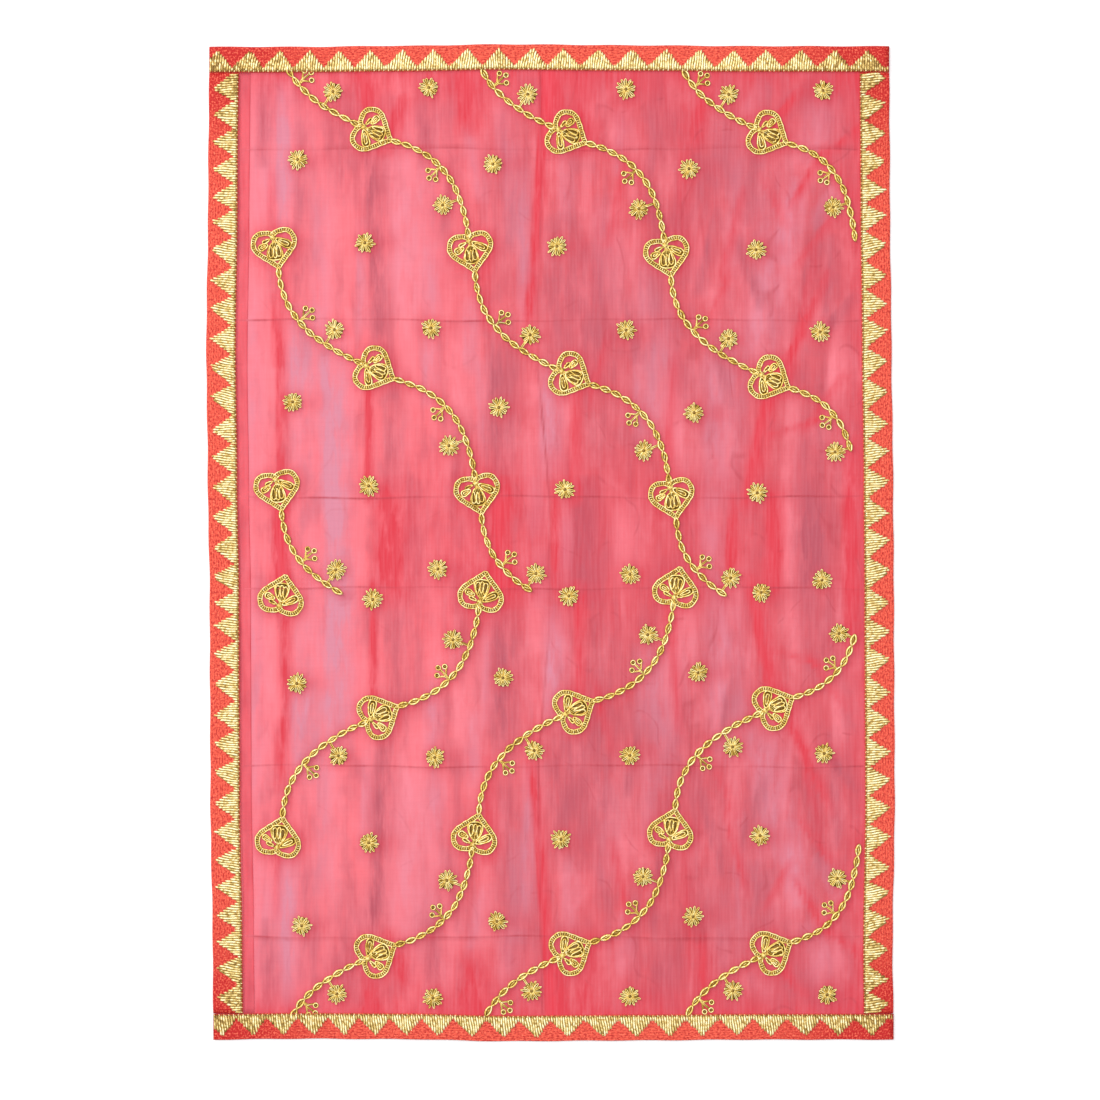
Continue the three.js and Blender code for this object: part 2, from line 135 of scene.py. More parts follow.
# %% [markdown]
# The large ripples. Net that was folded in a packet doesn't lie dead flat. It stands off the table in
# long low swells, each about as wide as a hand and two fingers' width of light apart. The frame's solid
# has them, so their table is the same here, in the upper half of the cloth. The lower half has the same
# swells turned over, because the cloth was folded in the middle.

# %% The large ripples and the calm edge beside the lace
NET_LIFT = 0.3
NET_SHELL = 0.45
SIDE_LACE = 26.0
END_LACE = 22.5
HEM_WIDTH = 9.5
SEAM_GAP = 0.3
RAW_EDGE = 2.0
LEFT_INSET = SIDE_LACE + HEM_WIDTH + 2 * SEAM_GAP
RIGHT_INSET = SIDE_LACE + SEAM_GAP
END_INSET = END_LACE + SEAM_GAP
CALM_REACH = 34.0
MIRROR_SHIFT = 3.5
RIPPLE_COLUMNS = ("x", "y", "length", "width", "height", "lean")
RIPPLES = [
    (-212, 300, 210, 48, 1.5, 0),
    (-242, 120, 200, 44, 1.6, 1),
    (-160, 104, 190, 46, 1.7, -1),
    (-136, 272, 190, 50, 1.6, 2),
    (-88, 100, 170, 50, 1.6, 3),
    (-46, 268, 200, 48, 1.5, -2),
    (4, 320, 150, 46, 1.5, 2),
    (26, 92, 170, 52, 1.8, 4),
    (82, 286, 190, 52, 1.5, 5),
    (118, 98, 180, 50, 1.6, -4),
    (146, 246, 200, 48, 1.6, 9),
    (190, 96, 180, 56, 2.1, 12),
    (216, 270, 170, 50, 1.7, 8),
]


def rows_of(columns, rows):
    return [dict(zip(columns, row)) for row in rows]


def swell_of(row, x, y):
    """1 along the middle of a ripple or fold, and 0 from its rim outwards."""
    lean = np.radians(row["lean"])
    dx = x - row["x"]
    dy = y - row["y"]
    across = dx * np.cos(lean) - dy * np.sin(lean)
    along = dx * np.sin(lean) + dy * np.cos(lean)
    inside = np.abs(across) < row["width"] / 2
    end = np.clip(1 - (2 * along / row["length"]) ** 2, 0, None)
    return np.where(inside, np.cos(np.pi * across / row["width"]) ** 2 * end**2, 0)


def on_both_halves(rows, value, x, y):
    """The sum of a table's rows in the upper half and, turned over, in the lower one."""
    total = np.zeros_like(x)
    for row in rows:
        total += value(row) * swell_of(row, x, y)
        total += value(row) * swell_of(row, x - MIRROR_SHIFT, -y)
    return total


def from_lace(x, y):
    side = np.minimum(x - left_edge(y) - LEFT_INSET, right_edge(y) - x - LEFT_INSET)
    end = np.minimum(top_edge(x) - y, y - bottom_edge(x)) - END_LACE
    return np.minimum(side, end)


def ripple_height(x, y):
    rows = rows_of(RIPPLE_COLUMNS, RIPPLES)
    return ease(from_lace(x, y) / CALM_REACH) * on_both_halves(rows, lambda row: row["height"], x, y)


probe = np.array([-160.0, 190.0]), np.array([104.0, 96.0])
print("two swells stand", ripple_height(*probe).round(2), "mm off the table")

# %% [markdown]
# The finer folds, and what they do to the colour. Sheer red net over white is pale where one layer
# stands off the table, and deep red where it doubles up or lies close. So one table serves both: each
# fold lifts or sinks the net a little, and tints it with painted light on its crest and painted shade in
# its trough and beside it.
#
# lilac is a cool pale streak on the crest of a fold, and blush is a warm pale one. deep is a trough of
# strong red, and dusk a greyish shade beside a crest. The rows were placed with their lengths, widths
# and leans as uneven as they are on the cloth. A simulation would give folds too, but not these.

# %% The finer folds
FOLD_COLUMNS = ("x", "y", "length", "width", "lean", "tone", "strength")
FOLDS = [
    (-258, 300, 230, 12, 0, "blush", 0.5),
    (-257, 130, 200, 15, 0, "lilac", 0.5),
    (-246, 370, 90, 18, 0, "dusk", 0.7),
    (-240, 290, 80, 16, 0, "deep", 0.5),
    (-231, 345, 170, 13, 0.5, "lilac", 1.0),
    (-211, 330, 120, 22, 0, "dusk", 0.5),
    (-212, 215, 130, 20, -2, "dusk", 0.35),
    (-214, 165, 90, 30, 4, "lilac", 0.7),
    (-198, 245, 130, 18, -2, "lilac", 0.5),
    (-186, 260, 160, 24, 0, "blush", 0.6),
    (-184, 92, 180, 26, -1, "lilac", 0.95),
    (-186, 10, 120, 18, 0, "lilac", 0.5),
    (-233, 100, 210, 15, 0.5, "deep", 1.0),
    (-236, 0, 120, 18, 0, "deep", 0.8),
    (-238, 185, 70, 15, 0, "deep", 0.7),
    (-246, 130, 170, 14, 0, "blush", 0.6),
    (-157, 92, 120, 9, 0.6, "deep", 1.6),
    (-148, 250, 210, 20, -3, "dusk", 0.9),
    (-163, 230, 110, 12, 0, "lilac", 0.5),
    (-120, 250, 220, 32, -1, "blush", 0.9),
    (-103, 360, 70, 20, 0, "dusk", 0.7),
    (-101, 225, 70, 14, 0, "lilac", 0.4),
    (-103, 152, 70, 16, 0, "lilac", 0.6),
    (-158, 398, 50, 24, 0, "deep", 0.9),
    (-134, 363, 60, 20, 20, "deep", 0.8),
    (-132, 95, 120, 24, 0, "dusk", 0.5),
    (-136, -5, 110, 44, 0, "deep", 0.6),
    (-118, 20, 70, 18, 0, "dusk", 0.5),
    (-66, 388, 70, 36, 0, "deep", 0.9),
    (-36, 355, 70, 20, 0, "lilac", 0.45),
    (-31, 300, 100, 17, 0, "lilac", 0.6),
    (-20, 260, 140, 14, -1, "lilac", 0.75),
    (-8, 310, 240, 14, 4, "deep", 1.3),
    (5, 390, 60, 28, 0, "deep", 1.1),
    (17, 320, 100, 18, 0, "lilac", 0.4),
    (33, 375, 80, 34, 0, "deep", 0.6),
    (50, 255, 100, 22, 0, "lilac", 0.3),
    (65, 350, 60, 18, 0, "lilac", 0.4),
    (68, 230, 90, 24, 0, "blush", 0.6),
    (86, 220, 80, 15, 0, "lilac", 0.4),
    (82, 130, 90, 17, 0, "lilac", 0.6),
    (25, 215, 150, 56, 0, "dusk", 0.6),
    (-55, 232, 100, 17, 0, "deep", 0.6),
    (-38, 115, 150, 32, 0, "dusk", 0.9),
    (-68, 180, 70, 15, 0, "lilac", 0.5),
    (-74, 135, 110, 30, 0, "blush", 0.7),
    (-57, 115, 100, 11, 0, "lilac", 0.45),
    (-18, 195, 60, 18, 0, "deep", 0.5),
    (3, 108, 110, 21, 0, "lilac", 0.85),
    (-14, 65, 70, 20, 0, "blush", 0.7),
    (24, 85, 110, 16, 0, "deep", 0.9),
    (-34, 40, 40, 44, 0, "deep", 0.5),
    (-9, 30, 60, 19, 0, "lilac", 0.4),
    (-44, -5, 90, 20, 0, "deep", 0.7),
    (16, -10, 70, 17, 0, "lilac", 0.35),
    (32, 0, 120, 24, 0, "dusk", 0.9),
    (68, 0, 70, 28, 0, "blush", 0.5),
    (3, 0, 100, 8, 0, "deep", 0.5),
    (98, 365, 90, 24, 0, "dusk", 0.6),
    (134, 378, 80, 22, 4, "deep", 0.9),
    (119, 320, 130, 20, 3, "deep", 0.5),
    (154, 340, 80, 24, 2, "lilac", 0.25),
    (165, 300, 140, 17, 4, "lilac", 0.3),
    (180, 320, 90, 20, 5, "dusk", 0.6),
    (212, 280, 80, 21, 8, "lilac", 0.6),
    (195, 215, 130, 36, 5, "lilac", 0.5),
    (240, 365, 80, 34, 12, "lilac", 0.5),
    (230, 240, 110, 17, 8, "dusk", 0.7),
    (247, 225, 90, 14, 4, "dusk", 0.8),
    (219, 190, 140, 13, 13, "deep", 0.8),
    (251, 150, 80, 16, 4, "blush", 0.8),
    (223, 178, 50, 17, 20, "blush", 0.4),
    (155, 110, 170, 36, 1, "lilac", 0.5),
    (118, 85, 100, 26, 2, "blush", 0.6),
    (106, 105, 130, 14, 4, "deep", 0.7),
    (186, 92, 140, 21, 12, "deep", 1.3),
    (212, 70, 130, 20, 4, "blush", 0.6),
    (216, 100, 60, 10, 72, "deep", 0.6),
    (195, -5, 100, 22, 2, "deep", 0.8),
    (208, -5, 80, 14, 2, "blush", 0.5),
    (158, -12, 70, 15, 0, "deep", 0.7),
    (230, -5, 80, 22, 0, "dusk", 0.6),
    (262, 0, 190, 18, 0, "deep", 0.7),
    (142, 15, 60, 20, 0, "lilac", 0.35),
    (100, 140, 100, 26, 0, "lilac", 0.5),
    (100, 185, 70, 20, 0, "lilac", 0.35),
    (70, 0, 170, 460, 0, "deep", 0.22),
    (-226, 352, 170, 62, 0, "lilac", 0.5),
    (-168, 355, 130, 46, 0, "dusk", 0.5),
    (-200, 95, 200, 50, 0, "lilac", 0.4),
    (-108, 290, 190, 60, 2, "lilac", 0.35),
    (-28, 300, 180, 44, 0, "dusk", 0.45),
    (60, 160, 200, 60, 3, "dusk", 0.4),
    (150, 345, 150, 56, 6, "dusk", 0.5),
    (214, 330, 130, 66, 12, "lilac", 0.2),
    (186, 210, 190, 60, 8, "lilac", 0.12),
    (140, 80, 170, 64, 4, "lilac", 0.12),
    (236, 60, 150, 40, 6, "dusk", 0.5),
    (262, 352, 60, 14, 52, "deep", 0.7),
    (226, 392, 56, 20, 48, "dusk", 0.7),
    (202, 372, 64, 13, 38, "deep", 0.8),
    (186, 392, 50, 18, 30, "lilac", 0.5),
    (252, 318, 60, 16, -34, "deep", 0.6),
    (226, 318, 70, 12, 30, "deep", 0.9),
    (196, 300, 60, 12, -28, "deep", 0.6),
    (244, 292, 52, 18, 30, "lilac", 0.5),
    (232, 262, 60, 12, 36, "deep", 0.8),
    (160, 268, 90, 12, 14, "deep", 0.8),
    (176, 236, 70, 13, -18, "dusk", 0.8),
    (140, 252, 80, 13, 14, "dusk", 0.8),
    (148, 210, 70, 12, 22, "deep", 0.7),
    (232, 208, 70, 13, 24, "deep", 0.8),
    (252, 196, 60, 12, 40, "dusk", 0.7),
    (206, 160, 60, 12, 38, "deep", 0.7),
    (240, 120, 70, 14, 34, "deep", 0.6),
    (152, 150, 70, 13, -12, "dusk", 0.7),
    (92, 300, 80, 14, -10, "dusk", 0.7),
    (60, 300, 90, 12, 12, "deep", 0.7),
    (44, 150, 80, 12, 14, "deep", 0.6),
    (72, 190, 70, 12, -12, "dusk", 0.6),
    (-86, 300, 90, 13, 10, "dusk", 0.6),
    (-64, 330, 70, 13, -10, "lilac", 0.5),
    (-80, 60, 90, 14, 8, "dusk", 0.6),
    (112, 215, 170, 50, 4, "dusk", 0.4),
]
# The folds' tints are painted light and shade; each bleeds wider than its fold, and rises crisply on its
# flank toward the light from the upper left.
TINT_SPREAD = {"lilac": 1.6, "blush": 1.5, "dusk": 1.5, "deep": 1.15}
CRISP_FLANK = 0.55
FOLD_LIFT = {"lilac": 0.45, "blush": 0.3, "deep": -0.3, "dusk": -0.15}
print("folds placed by hand:", len(FOLDS), "in each half")

# %% What a fold does to the height and the tint


def fold_height(x, y):
    rows = rows_of(FOLD_COLUMNS, FOLDS)
    return ease(from_lace(x, y) / CALM_REACH) * on_both_halves(
        rows, lambda row: row["strength"] * FOLD_LIFT[row["tone"]], x, y
    )


def tint_of(row, x, y):
    """A fold's tint, its painted light and shade: crisp on its left flank, toward the light from the upper
    left, and fading out to the right.
    """
    lean = np.radians(row["lean"])
    dx = x - row["x"]
    dy = y - row["y"]
    across = 2 * (dx * np.cos(lean) - dy * np.sin(lean)) / (row["width"] * TINT_SPREAD[row["tone"]])
    along = dx * np.sin(lean) + dy * np.cos(lean)
    end = np.clip(1 - (2 * along / row["length"]) ** 2, 0, None)
    rise = ease((across + 1) / CRISP_FLANK)
    fade = 1 - ease((across + 1 - CRISP_FLANK) / (2 - CRISP_FLANK))
    return np.where(np.abs(across) < 1, np.minimum(rise, fade) * np.sqrt(end), 0)


def tone_field(tone, x, y):
    """The painted light and shade of one tone in both halves. They bleed a little wider than the folds
    themselves.
    """
    total = np.zeros_like(x)
    for row in rows_of(FOLD_COLUMNS, FOLDS):
        if row["tone"] == tone:
            total += row["strength"] * tint_of(row, x, y)
            total += row["strength"] * tint_of(row, x - MIRROR_SHIFT, -y)
    return total


print("lilac at the two swells:", tone_field("lilac", *probe).round(2))

# %% [markdown]
# The packet creases. The veil was folded across its length, and once down its middle, and the pressed
# lines are still there, six across and one down: a hair's breadth of raised net with a darker line of painted
# shade along it. They are real bends, so they are in the mesh, which gets extra rows of points just there.

# %% The pressed creases
CROSS_CREASES = [343.4, 194.2, 39.9, -39.5, -194.7, -343.8]
CREASE_WANDER = 1.0
CREASE_LIFT = 0.35
CREASE_HALF = 1.4
CREASE_FADE = 3.0
DEEPEST_FOLD = -0.25
LOWEST_LIFT = -0.2
LONG_CREASE = {
    "y": [-415, -290, -195, -85, -40, 37, 98, 150, 211, 299, 415],
    "x": [-7, -9, -11, -2, -1, -1, -6, -11, -11, -8, -9],
}


def cross_crease(y0, x):
    return y0 + CREASE_WANDER * np.sin(x / 47 + y0) + 0.4 * CREASE_WANDER * np.sin(x / 13 + 2 * y0)


def crease_field(x, y):
    total = np.zeros_like(x)
    for y0 in CROSS_CREASES:
        strength = 0.3 + 0.6 * np.sin(x / 61 + y0 / 9) ** 2
        total += strength * np.clip(1 - np.abs(y - cross_crease(y0, x)) / CREASE_HALF, 0, 1)
    long_x = np.interp(y, LONG_CREASE["y"], LONG_CREASE["x"])
    strength = 0.35 + 0.65 * np.sin(y / 83 + 0.6) ** 2
    total += strength * np.clip(1 - np.abs(x - long_x) / CREASE_HALF, 0, 1)
    side = np.minimum(x - left_edge(y) - SIDE_LACE, right_edge(y) - x - SIDE_LACE)
    end = np.minimum(top_edge(x) - y, y - bottom_edge(x)) - END_LACE
    return np.clip(total, 0, 1) * ease(side / CREASE_FADE) * ease(end / CREASE_FADE)


def net_height(x, y):
    """The underside of the net shell at a place on the table."""
    lifts = ripple_height(x, y) + np.maximum(fold_height(x, y), DEEPEST_FOLD)
    return NET_LIFT + np.maximum(lifts, LOWEST_LIFT) + CREASE_LIFT * crease_field(x, y)


def net_top(x, y):
    return net_height(x, y) + NET_SHELL


print("cross creases at", CROSS_CREASES, "mm")

# %% [markdown]
# The sheer net is a thin closed shell on the solid's form. Its grid is even, about four millimetres, with
# closer lines at the creases. A subdivided plane would need far more faces for the same creases.
#
# The work pulls on the net: it lies darker inside each heart and beside each flower, partly from that pull
# and partly as painted shadow of the work. The flowers' places are read from the frame, and the vines' places
# are in the table that the next steps also use.

# %% The hearts that the vines string together
UPRIGHT = -79
RESTING = -26
HEARTS = {
    "u1": (-240, 255.7, UPRIGHT),
    "u2": (-69, 252.7, UPRIGHT),
    "u3": (102, 248.7, UPRIGHT),
    "u4": (-237.6, 44.7, UPRIGHT),
    "u5": (-63.2, 41.6, UPRIGHT),
    "u6": (106.4, 37.7, UPRIGHT),
    "s1": (-153.6, 357.8, RESTING),
    "s2": (16.1, 355.5, RESTING),
    "s3": (191.4, 355.2, RESTING),
    "s4": (-151.3, 149.8, RESTING),
    "s5": (19.1, 145, RESTING),
    "s6": (193.1, 141.9, RESTING),
}
flower_nodes = sorted(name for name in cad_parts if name.startswith("flower_"))


def node_middle(name):
    low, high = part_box(name)
    return (low.x + high.x) / 2 / MM, (low.y + high.y) / 2 / MM


flower_places = {name: node_middle(name) for name in flower_nodes}
print(len(HEARTS), "hearts in a half,", len(flower_places), "free flowers")

# %% The grid of the net
GRID_STEP = 3.9
CREASE_OFFSETS = (-1.4, -0.7, 0, 0.7, 1.4)


def stations(low, high, fine):
    """Even places from low to high, with the fine ones kept and their near neighbours left out."""
    even = np.linspace(low, high, int(round((high - low) / GRID_STEP)) + 1)
    fine = np.asarray(fine, float)
    clear = [v for v in even if np.abs(fine - v).min() > 1.2 or v in (low, high)]
    return np.unique(np.concatenate([clear, fine]))


long_fine = np.arange(-13.5, 1.6, 1.5)
cross_fine = [y0 + offset for y0 in CROSS_CREASES for offset in CREASE_OFFSETS]
grid_x = stations(-VEIL_WIDTH / 2, VEIL_WIDTH / 2, long_fine)
grid_y = stations(-VEIL_LENGTH / 2, VEIL_LENGTH / 2, cross_fine)


def net_places():
    """The grid's points, drawn in at the rim to the cloth's own edges."""
    flat_x, flat_y = np.meshgrid(grid_x, grid_y, indexing="ij")
    left = left_edge(flat_y) + RAW_EDGE
    right = right_edge(flat_y) - RAW_EDGE
    share = flat_x / VEIL_WIDTH + 0.5
    pull = np.abs(2 * share - 1) ** 6
    x = flat_x * (1 - pull) + (left + (right - left) * share) * pull
    low = bottom_edge(x) + RAW_EDGE
    high = top_edge(x) - RAW_EDGE
    share = flat_y / VEIL_LENGTH + 0.5
    pull = np.abs(2 * share - 1) ** 6
    wander = sum(
        (cross_crease(y0, x) - y0) * np.clip(1 - np.abs(flat_y - y0) / 12, 0, 1) for y0 in CROSS_CREASES
    )
    y = (flat_y + wander) * (1 - pull) + (low + (high - low) * share) * pull
    return x, y


print("net grid:", len(grid_x), "by", len(grid_y))

# %% A closed sheet


def shell_faces(columns, rows):
    """Faces of a closed sheet: a top grid, then a bottom grid, and the rim between them."""
    top = np.arange(columns * rows).reshape(columns, rows)
    low = top + columns * rows
    quads = [
        np.stack([top[:-1, :-1], top[1:, :-1], top[1:, 1:], top[:-1, 1:]], -1).reshape(-1, 4),
        np.stack([low[:-1, :-1], low[:-1, 1:], low[1:, 1:], low[1:, :-1]], -1).reshape(-1, 4),
    ]
    rim = np.concatenate([top[:-1, 0], top[-1, :-1], top[:0:-1, -1], top[0, :0:-1]])
    under = rim + columns * rows
    quads.append(np.stack([rim, under, np.roll(under, -1), np.roll(rim, -1)], -1))
    return np.concatenate(quads).tolist()


def shell_piece(name, x, y, low, high, material, notes):
    """A closed sheet over a grid of places, between two heights, with its notes on both of its sides."""
    top = np.stack([x.ravel(), y.ravel(), high.ravel()], -1)
    under = np.stack([x.ravel(), y.ravel(), low.ravel()], -1)
    faces = shell_faces(*x.shape)
    if np.cross(top[x.shape[1]] - top[0], top[1] - top[0])[2] < 0:
        faces = [face[::-1] for face in faces]
    notes = {key: np.tile(np.ravel(values), 2) for key, values in notes.items()}
    return make_piece(name, np.concatenate([top, under]), faces, material, notes)


print("a sheet of 3 by 4 points has", len(shell_faces(3, 4)), "faces")

# %% Where the work darkens the net
# Painted shadow of the work, partly its pull: dark spots in and under each heart, in each flower, and 21 mm
# to its right.
IN_HEART = {"depth": 0.75, "shift": 3, "reach": 19}
IN_FLOWER = {"depth": 0.3, "shift": 0, "reach": 11}
SHADOW_BESIDE_FLOWER = {"depth": 0.35, "shift": 21, "reach": 9}


def dark_spot(rule, x, y, middle_x, middle_y):
    away = (x - middle_x - rule["shift"]) ** 2 + (y - middle_y) ** 2
    return rule["depth"] * np.exp(-(away / rule["reach"] ** 2))


def heart_shade(x, y):
    """How dark the net lies in and under the hearts, and in and beside the flowers: painted shadow, partly
    the pull of the work.
    """
    total = np.zeros_like(x)
    for heart_x, heart_y, _ in HEARTS.values():
        total += dark_spot(IN_HEART, x, y, heart_x, heart_y)
        total += dark_spot(IN_HEART, x, y, heart_x + MIRROR_SHIFT, -heart_y)
    for middle in flower_places.values():
        total += dark_spot(IN_FLOWER, x, y, *middle)
        total += dark_spot(SHADOW_BESIDE_FLOWER, x, y, *middle)
    return total


print("shade at the two swells:", heart_shade(*probe).round(2))

# %% [markdown]
# Net material. Organza is a plain weave of very fine yarns with open gaps, so it is partly see-through,
# and it has a soft sheen. The weave is far finer than the mesh, so it is in the material: two crossed
# waves for warp and weft, which change the cover and the bump a little. Long thin noise gives the streaks
# that uneven yarns make. The tints that the folds carry, their painted light and shade, are mixed in by
# name.
#
# The finest wrinkles are thinner than the mesh too, so they are painted as thin lines of shade. A slow noise
# crosses its middle value along thin unbroken lines, so a narrow band of values there gives wrinkles that
# wander and fork like real ones.
#
# A transparent shader mixed over a diffuse one would also look sheer.
# One Principled shader with its Alpha driven by the weave is simpler, and it survives an export.

# %% Node helpers for the materials


def new_material(name):
    material = bpy.data.materials.new(name)
    material.use_nodes = True
    nodes = material.node_tree.nodes
    nodes.clear()
    surface = nodes.new("ShaderNodeBsdfPrincipled")
    output = nodes.new("ShaderNodeOutputMaterial")
    material.node_tree.links.new(surface.outputs[0], output.inputs[0])
    return material, surface


def linear(red, green, blue):
    """A colour as the eye reads it, 0 to 255, turned into light."""
    parts = np.array([red, green, blue]) / 255
    light = np.where(parts <= 0.04045, parts / 12.92, ((parts + 0.055) / 1.055) ** 2.4)
    return (*light.tolist(), 1.0)


class Graph:
    """Short words for the nodes that the materials share."""

    def __init__(self, material):
        self.tree = material.node_tree

    def node(self, kind, **settings):
        made = self.tree.nodes.new(kind)
        for key, value in settings.items():
            setattr(made, key, value)
        return made

    def link(self, start, end):
        self.tree.links.new(start, end)

    def feed(self, socket, value):
        if isinstance(value, (int, float, tuple)):
            socket.default_value = value
        else:
            self.link(value, socket)

    def note(self, name):
        return self.node("ShaderNodeAttribute", attribute_name=name).outputs["Fac"]

    def math(self, operation, first, second=0.0, clamp=False):
        made = self.node("ShaderNodeMath", operation=operation, use_clamp=clamp)
        self.feed(made.inputs[0], first)
        self.feed(made.inputs[1], second)
        return made.outputs[0]

    def mix(self, share, first, second, blend="MIX"):
        made = self.node("ShaderNodeMix", data_type="RGBA", blend_type=blend)
        self.feed(made.inputs["Factor"], share)
        self.feed(made.inputs[6], first)
        self.feed(made.inputs[7], second)
        return made.outputs[2]

    def fit(self, value, low, high, new_low=0.0, new_high=1.0):
        made = self.node("ShaderNodeMapRange", interpolation_type="SMOOTHSTEP")
        for key, number in (("From Min", low), ("From Max", high), ("To Min", new_low), ("To Max", new_high)):
            made.inputs[key].default_value = number
        self.feed(made.inputs["Value"], value)
        return made.outputs[0]

    def place(self, scale):
        """The place on the cloth in metres, stretched by a scale for each axis."""
        where = self.node("ShaderNodeTexCoord").outputs["Object"]
        made = self.node("ShaderNodeMapping")
        self.link(where, made.inputs["Vector"])
        made.inputs["Scale"].default_value = scale
        return made.outputs[0]

    def noise(self, scale, detail=3.0, rough=0.55):
        made = self.node("ShaderNodeTexNoise")
        self.link(self.place(scale), made.inputs["Vector"])
        made.inputs["Scale"].default_value = 1.0
        made.inputs["Detail"].default_value = detail
        made.inputs["Roughness"].default_value = rough
        return made.outputs["Fac"]

    def wave(self, axis, per_metre):
        """A plain wave along one axis, 0 to 1, with so many crests in a metre."""
        turn = 2 * np.pi * per_metre
        split = self.node("ShaderNodeSeparateXYZ")
        self.link(self.place((turn, turn, turn)), split.inputs[0])
        sine = self.math("SINE", split.outputs[axis])
        half = self.math("MULTIPLY", sine, 0.5)
        return self.math("ADD", half, 0.5)

    def bump(self, surface, height, strength, distance):
        made = self.node("ShaderNodeBump")
        made.inputs["Strength"].default_value = strength
        made.inputs["Distance"].default_value = distance
        self.link(height, made.inputs["Height"])
        self.link(made.outputs[0], surface.inputs["Normal"])


print("a mid red of 230 gives", round(linear(230, 0, 0)[0], 3), "of the light")

# %% Sheer red net
YARNS_PER_METRE = 3200
NET_NOISES = {
    "streaks": {"scale": (130, 30, 30), "detail": 3.0, "rough": 0.6},
    "clouds": {"scale": (30, 17, 17), "detail": 3.0, "rough": 0.6},
    "drifts": {"scale": (75, 11, 11), "detail": 3.0, "rough": 0.5},
    "contour": {"scale": (16, 12, 12), "detail": 1.5, "rough": 0.4},
    "fibres": {"scale": (460, 24, 24), "detail": 1.0},
    "slubs": {"scale": (30, 500, 30), "detail": 2.0},
}
WRINKLE_HALF = 0.014
WRINKLE_SHADE_STRENGTH = 0.38
NET_COLOURS = {
    "left": linear(255, 118, 130),
    "right": linear(226, 84, 97),
    "lilac": linear(226, 140, 162),
    "blush": linear(255, 136, 150),
    "deep": linear(224, 56, 72),
    "dusk": linear(194, 82, 100),
    "crease_shade": linear(190, 50, 66),
    "pulled_and_shadowed": linear(214, 44, 66),
}


def sheer_net(name, cover, deepen):
    material, surface = new_material(name)
    graph = Graph(material)
    split = graph.node("ShaderNodeSeparateXYZ")
    graph.link(graph.place((1, 1, 1)), split.inputs[0])
    across = graph.fit(split.outputs[0], -0.25, 0.1)
    colour = graph.mix(across, NET_COLOURS["left"], NET_COLOURS["right"])
    streaks, clouds, drifts, contour, fibres, slubs = (graph.noise(**rule) for rule in NET_NOISES.values())
    for cloud, strength in ((clouds, 0.5), (drifts, 0.4)):
        colour = graph.mix(graph.fit(cloud, 0.48, 0.72, 0.0, strength), colour, NET_COLOURS["dusk"])
        pale = graph.math("SUBTRACT", 1.0, cloud)
        colour = graph.mix(graph.fit(pale, 0.48, 0.72, 0.0, strength), colour, NET_COLOURS["blush"])
    # Painted light and shade of the folds: lilac and blush are painted highlights on the crests, dusk and
    # deep painted shade beside and in the troughs.
    for tone in ("blush", "lilac", "dusk", "deep"):
        ragged = graph.math("MULTIPLY", graph.note(tone), graph.fit(streaks, 0.3, 0.7, 0.55, 1.35))
        share = graph.math("MULTIPLY", ragged, 0.9, clamp=True)
        colour = graph.mix(share, colour, NET_COLOURS[tone])
    # Painted shade along the pressed creases, broken up by noise.
    crease_line_shade = graph.math("MULTIPLY", graph.note("crease_shade"), graph.fit(clouds, 0.38, 0.62, 0.5, 1.1))
    colour = graph.mix(crease_line_shade, colour, NET_COLOURS["crease_shade"])
    # Painted shade of the finest wrinkles.
    apart = graph.math("ABSOLUTE", graph.math("SUBTRACT", contour, 0.5))
    wrinkle_shade = graph.fit(apart, 0.0, WRINKLE_HALF, WRINKLE_SHADE_STRENGTH, 0.0)
    wrinkle_shade = graph.math("MULTIPLY", wrinkle_shade, graph.fit(drifts, 0.45, 0.6))
    wrinkle_shade = graph.math("MULTIPLY", wrinkle_shade, graph.fit(split.outputs[0], -0.1, 0.15, 0.3, 1.0))
    colour = graph.mix(wrinkle_shade, colour, NET_COLOURS["crease_shade"])
    # Painted shadow of the work, together with the deeper red where the stitching pulls the net.
    pulled_and_shadowed = graph.math("MULTIPLY", graph.note("pulled_and_shadowed"), graph.fit(streaks, 0.2, 0.8, 0.5, 0.9))
    colour = graph.mix(pulled_and_shadowed, colour, NET_COLOURS["pulled_and_shadowed"])
    colour = graph.mix(graph.fit(fibres, 0.3, 0.7, 0.0, 0.1), colour, linear(255, 160, 175))
    colour = graph.mix(graph.fit(slubs, 0.35, 0.7, 0.0, 0.04), colour, linear(190, 40, 60))
    if deepen:
        colour = graph.mix(deepen, colour, NET_COLOURS["deep"])
    graph.link(colour, surface.inputs["Base Color"])
    warp = graph.wave(0, YARNS_PER_METRE)
    weft = graph.wave(1, YARNS_PER_METRE)
    weave = graph.math("MULTIPLY", warp, weft)
    open_gaps = graph.fit(weave, 0.0, 1.0, cover + 0.005, cover - 0.01)
    alpha = graph.math("ADD", open_gaps, graph.math("MULTIPLY", graph.note("deep"), 0.12), clamp=True)
    graph.link(alpha, surface.inputs["Alpha"])
    surface.inputs["Roughness"].default_value = 0.55
    surface.inputs["Specular IOR Level"].default_value = 0.25
    surface.inputs["Sheen Weight"].default_value = 0.25
    surface.inputs["Sheen Roughness"].default_value = 0.4
    surface.inputs["Sheen Tint"].default_value = linear(255, 205, 215)
    threads = graph.math("MULTIPLY", weave, 0.08)
    graph.bump(surface, graph.math("ADD", threads, graph.math("MULTIPLY", fibres, 1.6)), 0.12, 0.0003)
    return material


net_material = sheer_net("sheer_red_net", 0.66, 0)
hem_material = sheer_net("turned_red_net", 0.5, 0.12)
print("net tints:", ", ".join(NET_COLOURS))

# %% Lay the net
END_RIM = {"depth": 0.5, "reach": 14}
END_WASH = {"depth": 0.28, "reach": 48}
RIGHT_RIM = {"depth": 0.55, "reach": 8}
HEART_DEEP = 0.6
HEART_DUSK = 0.4


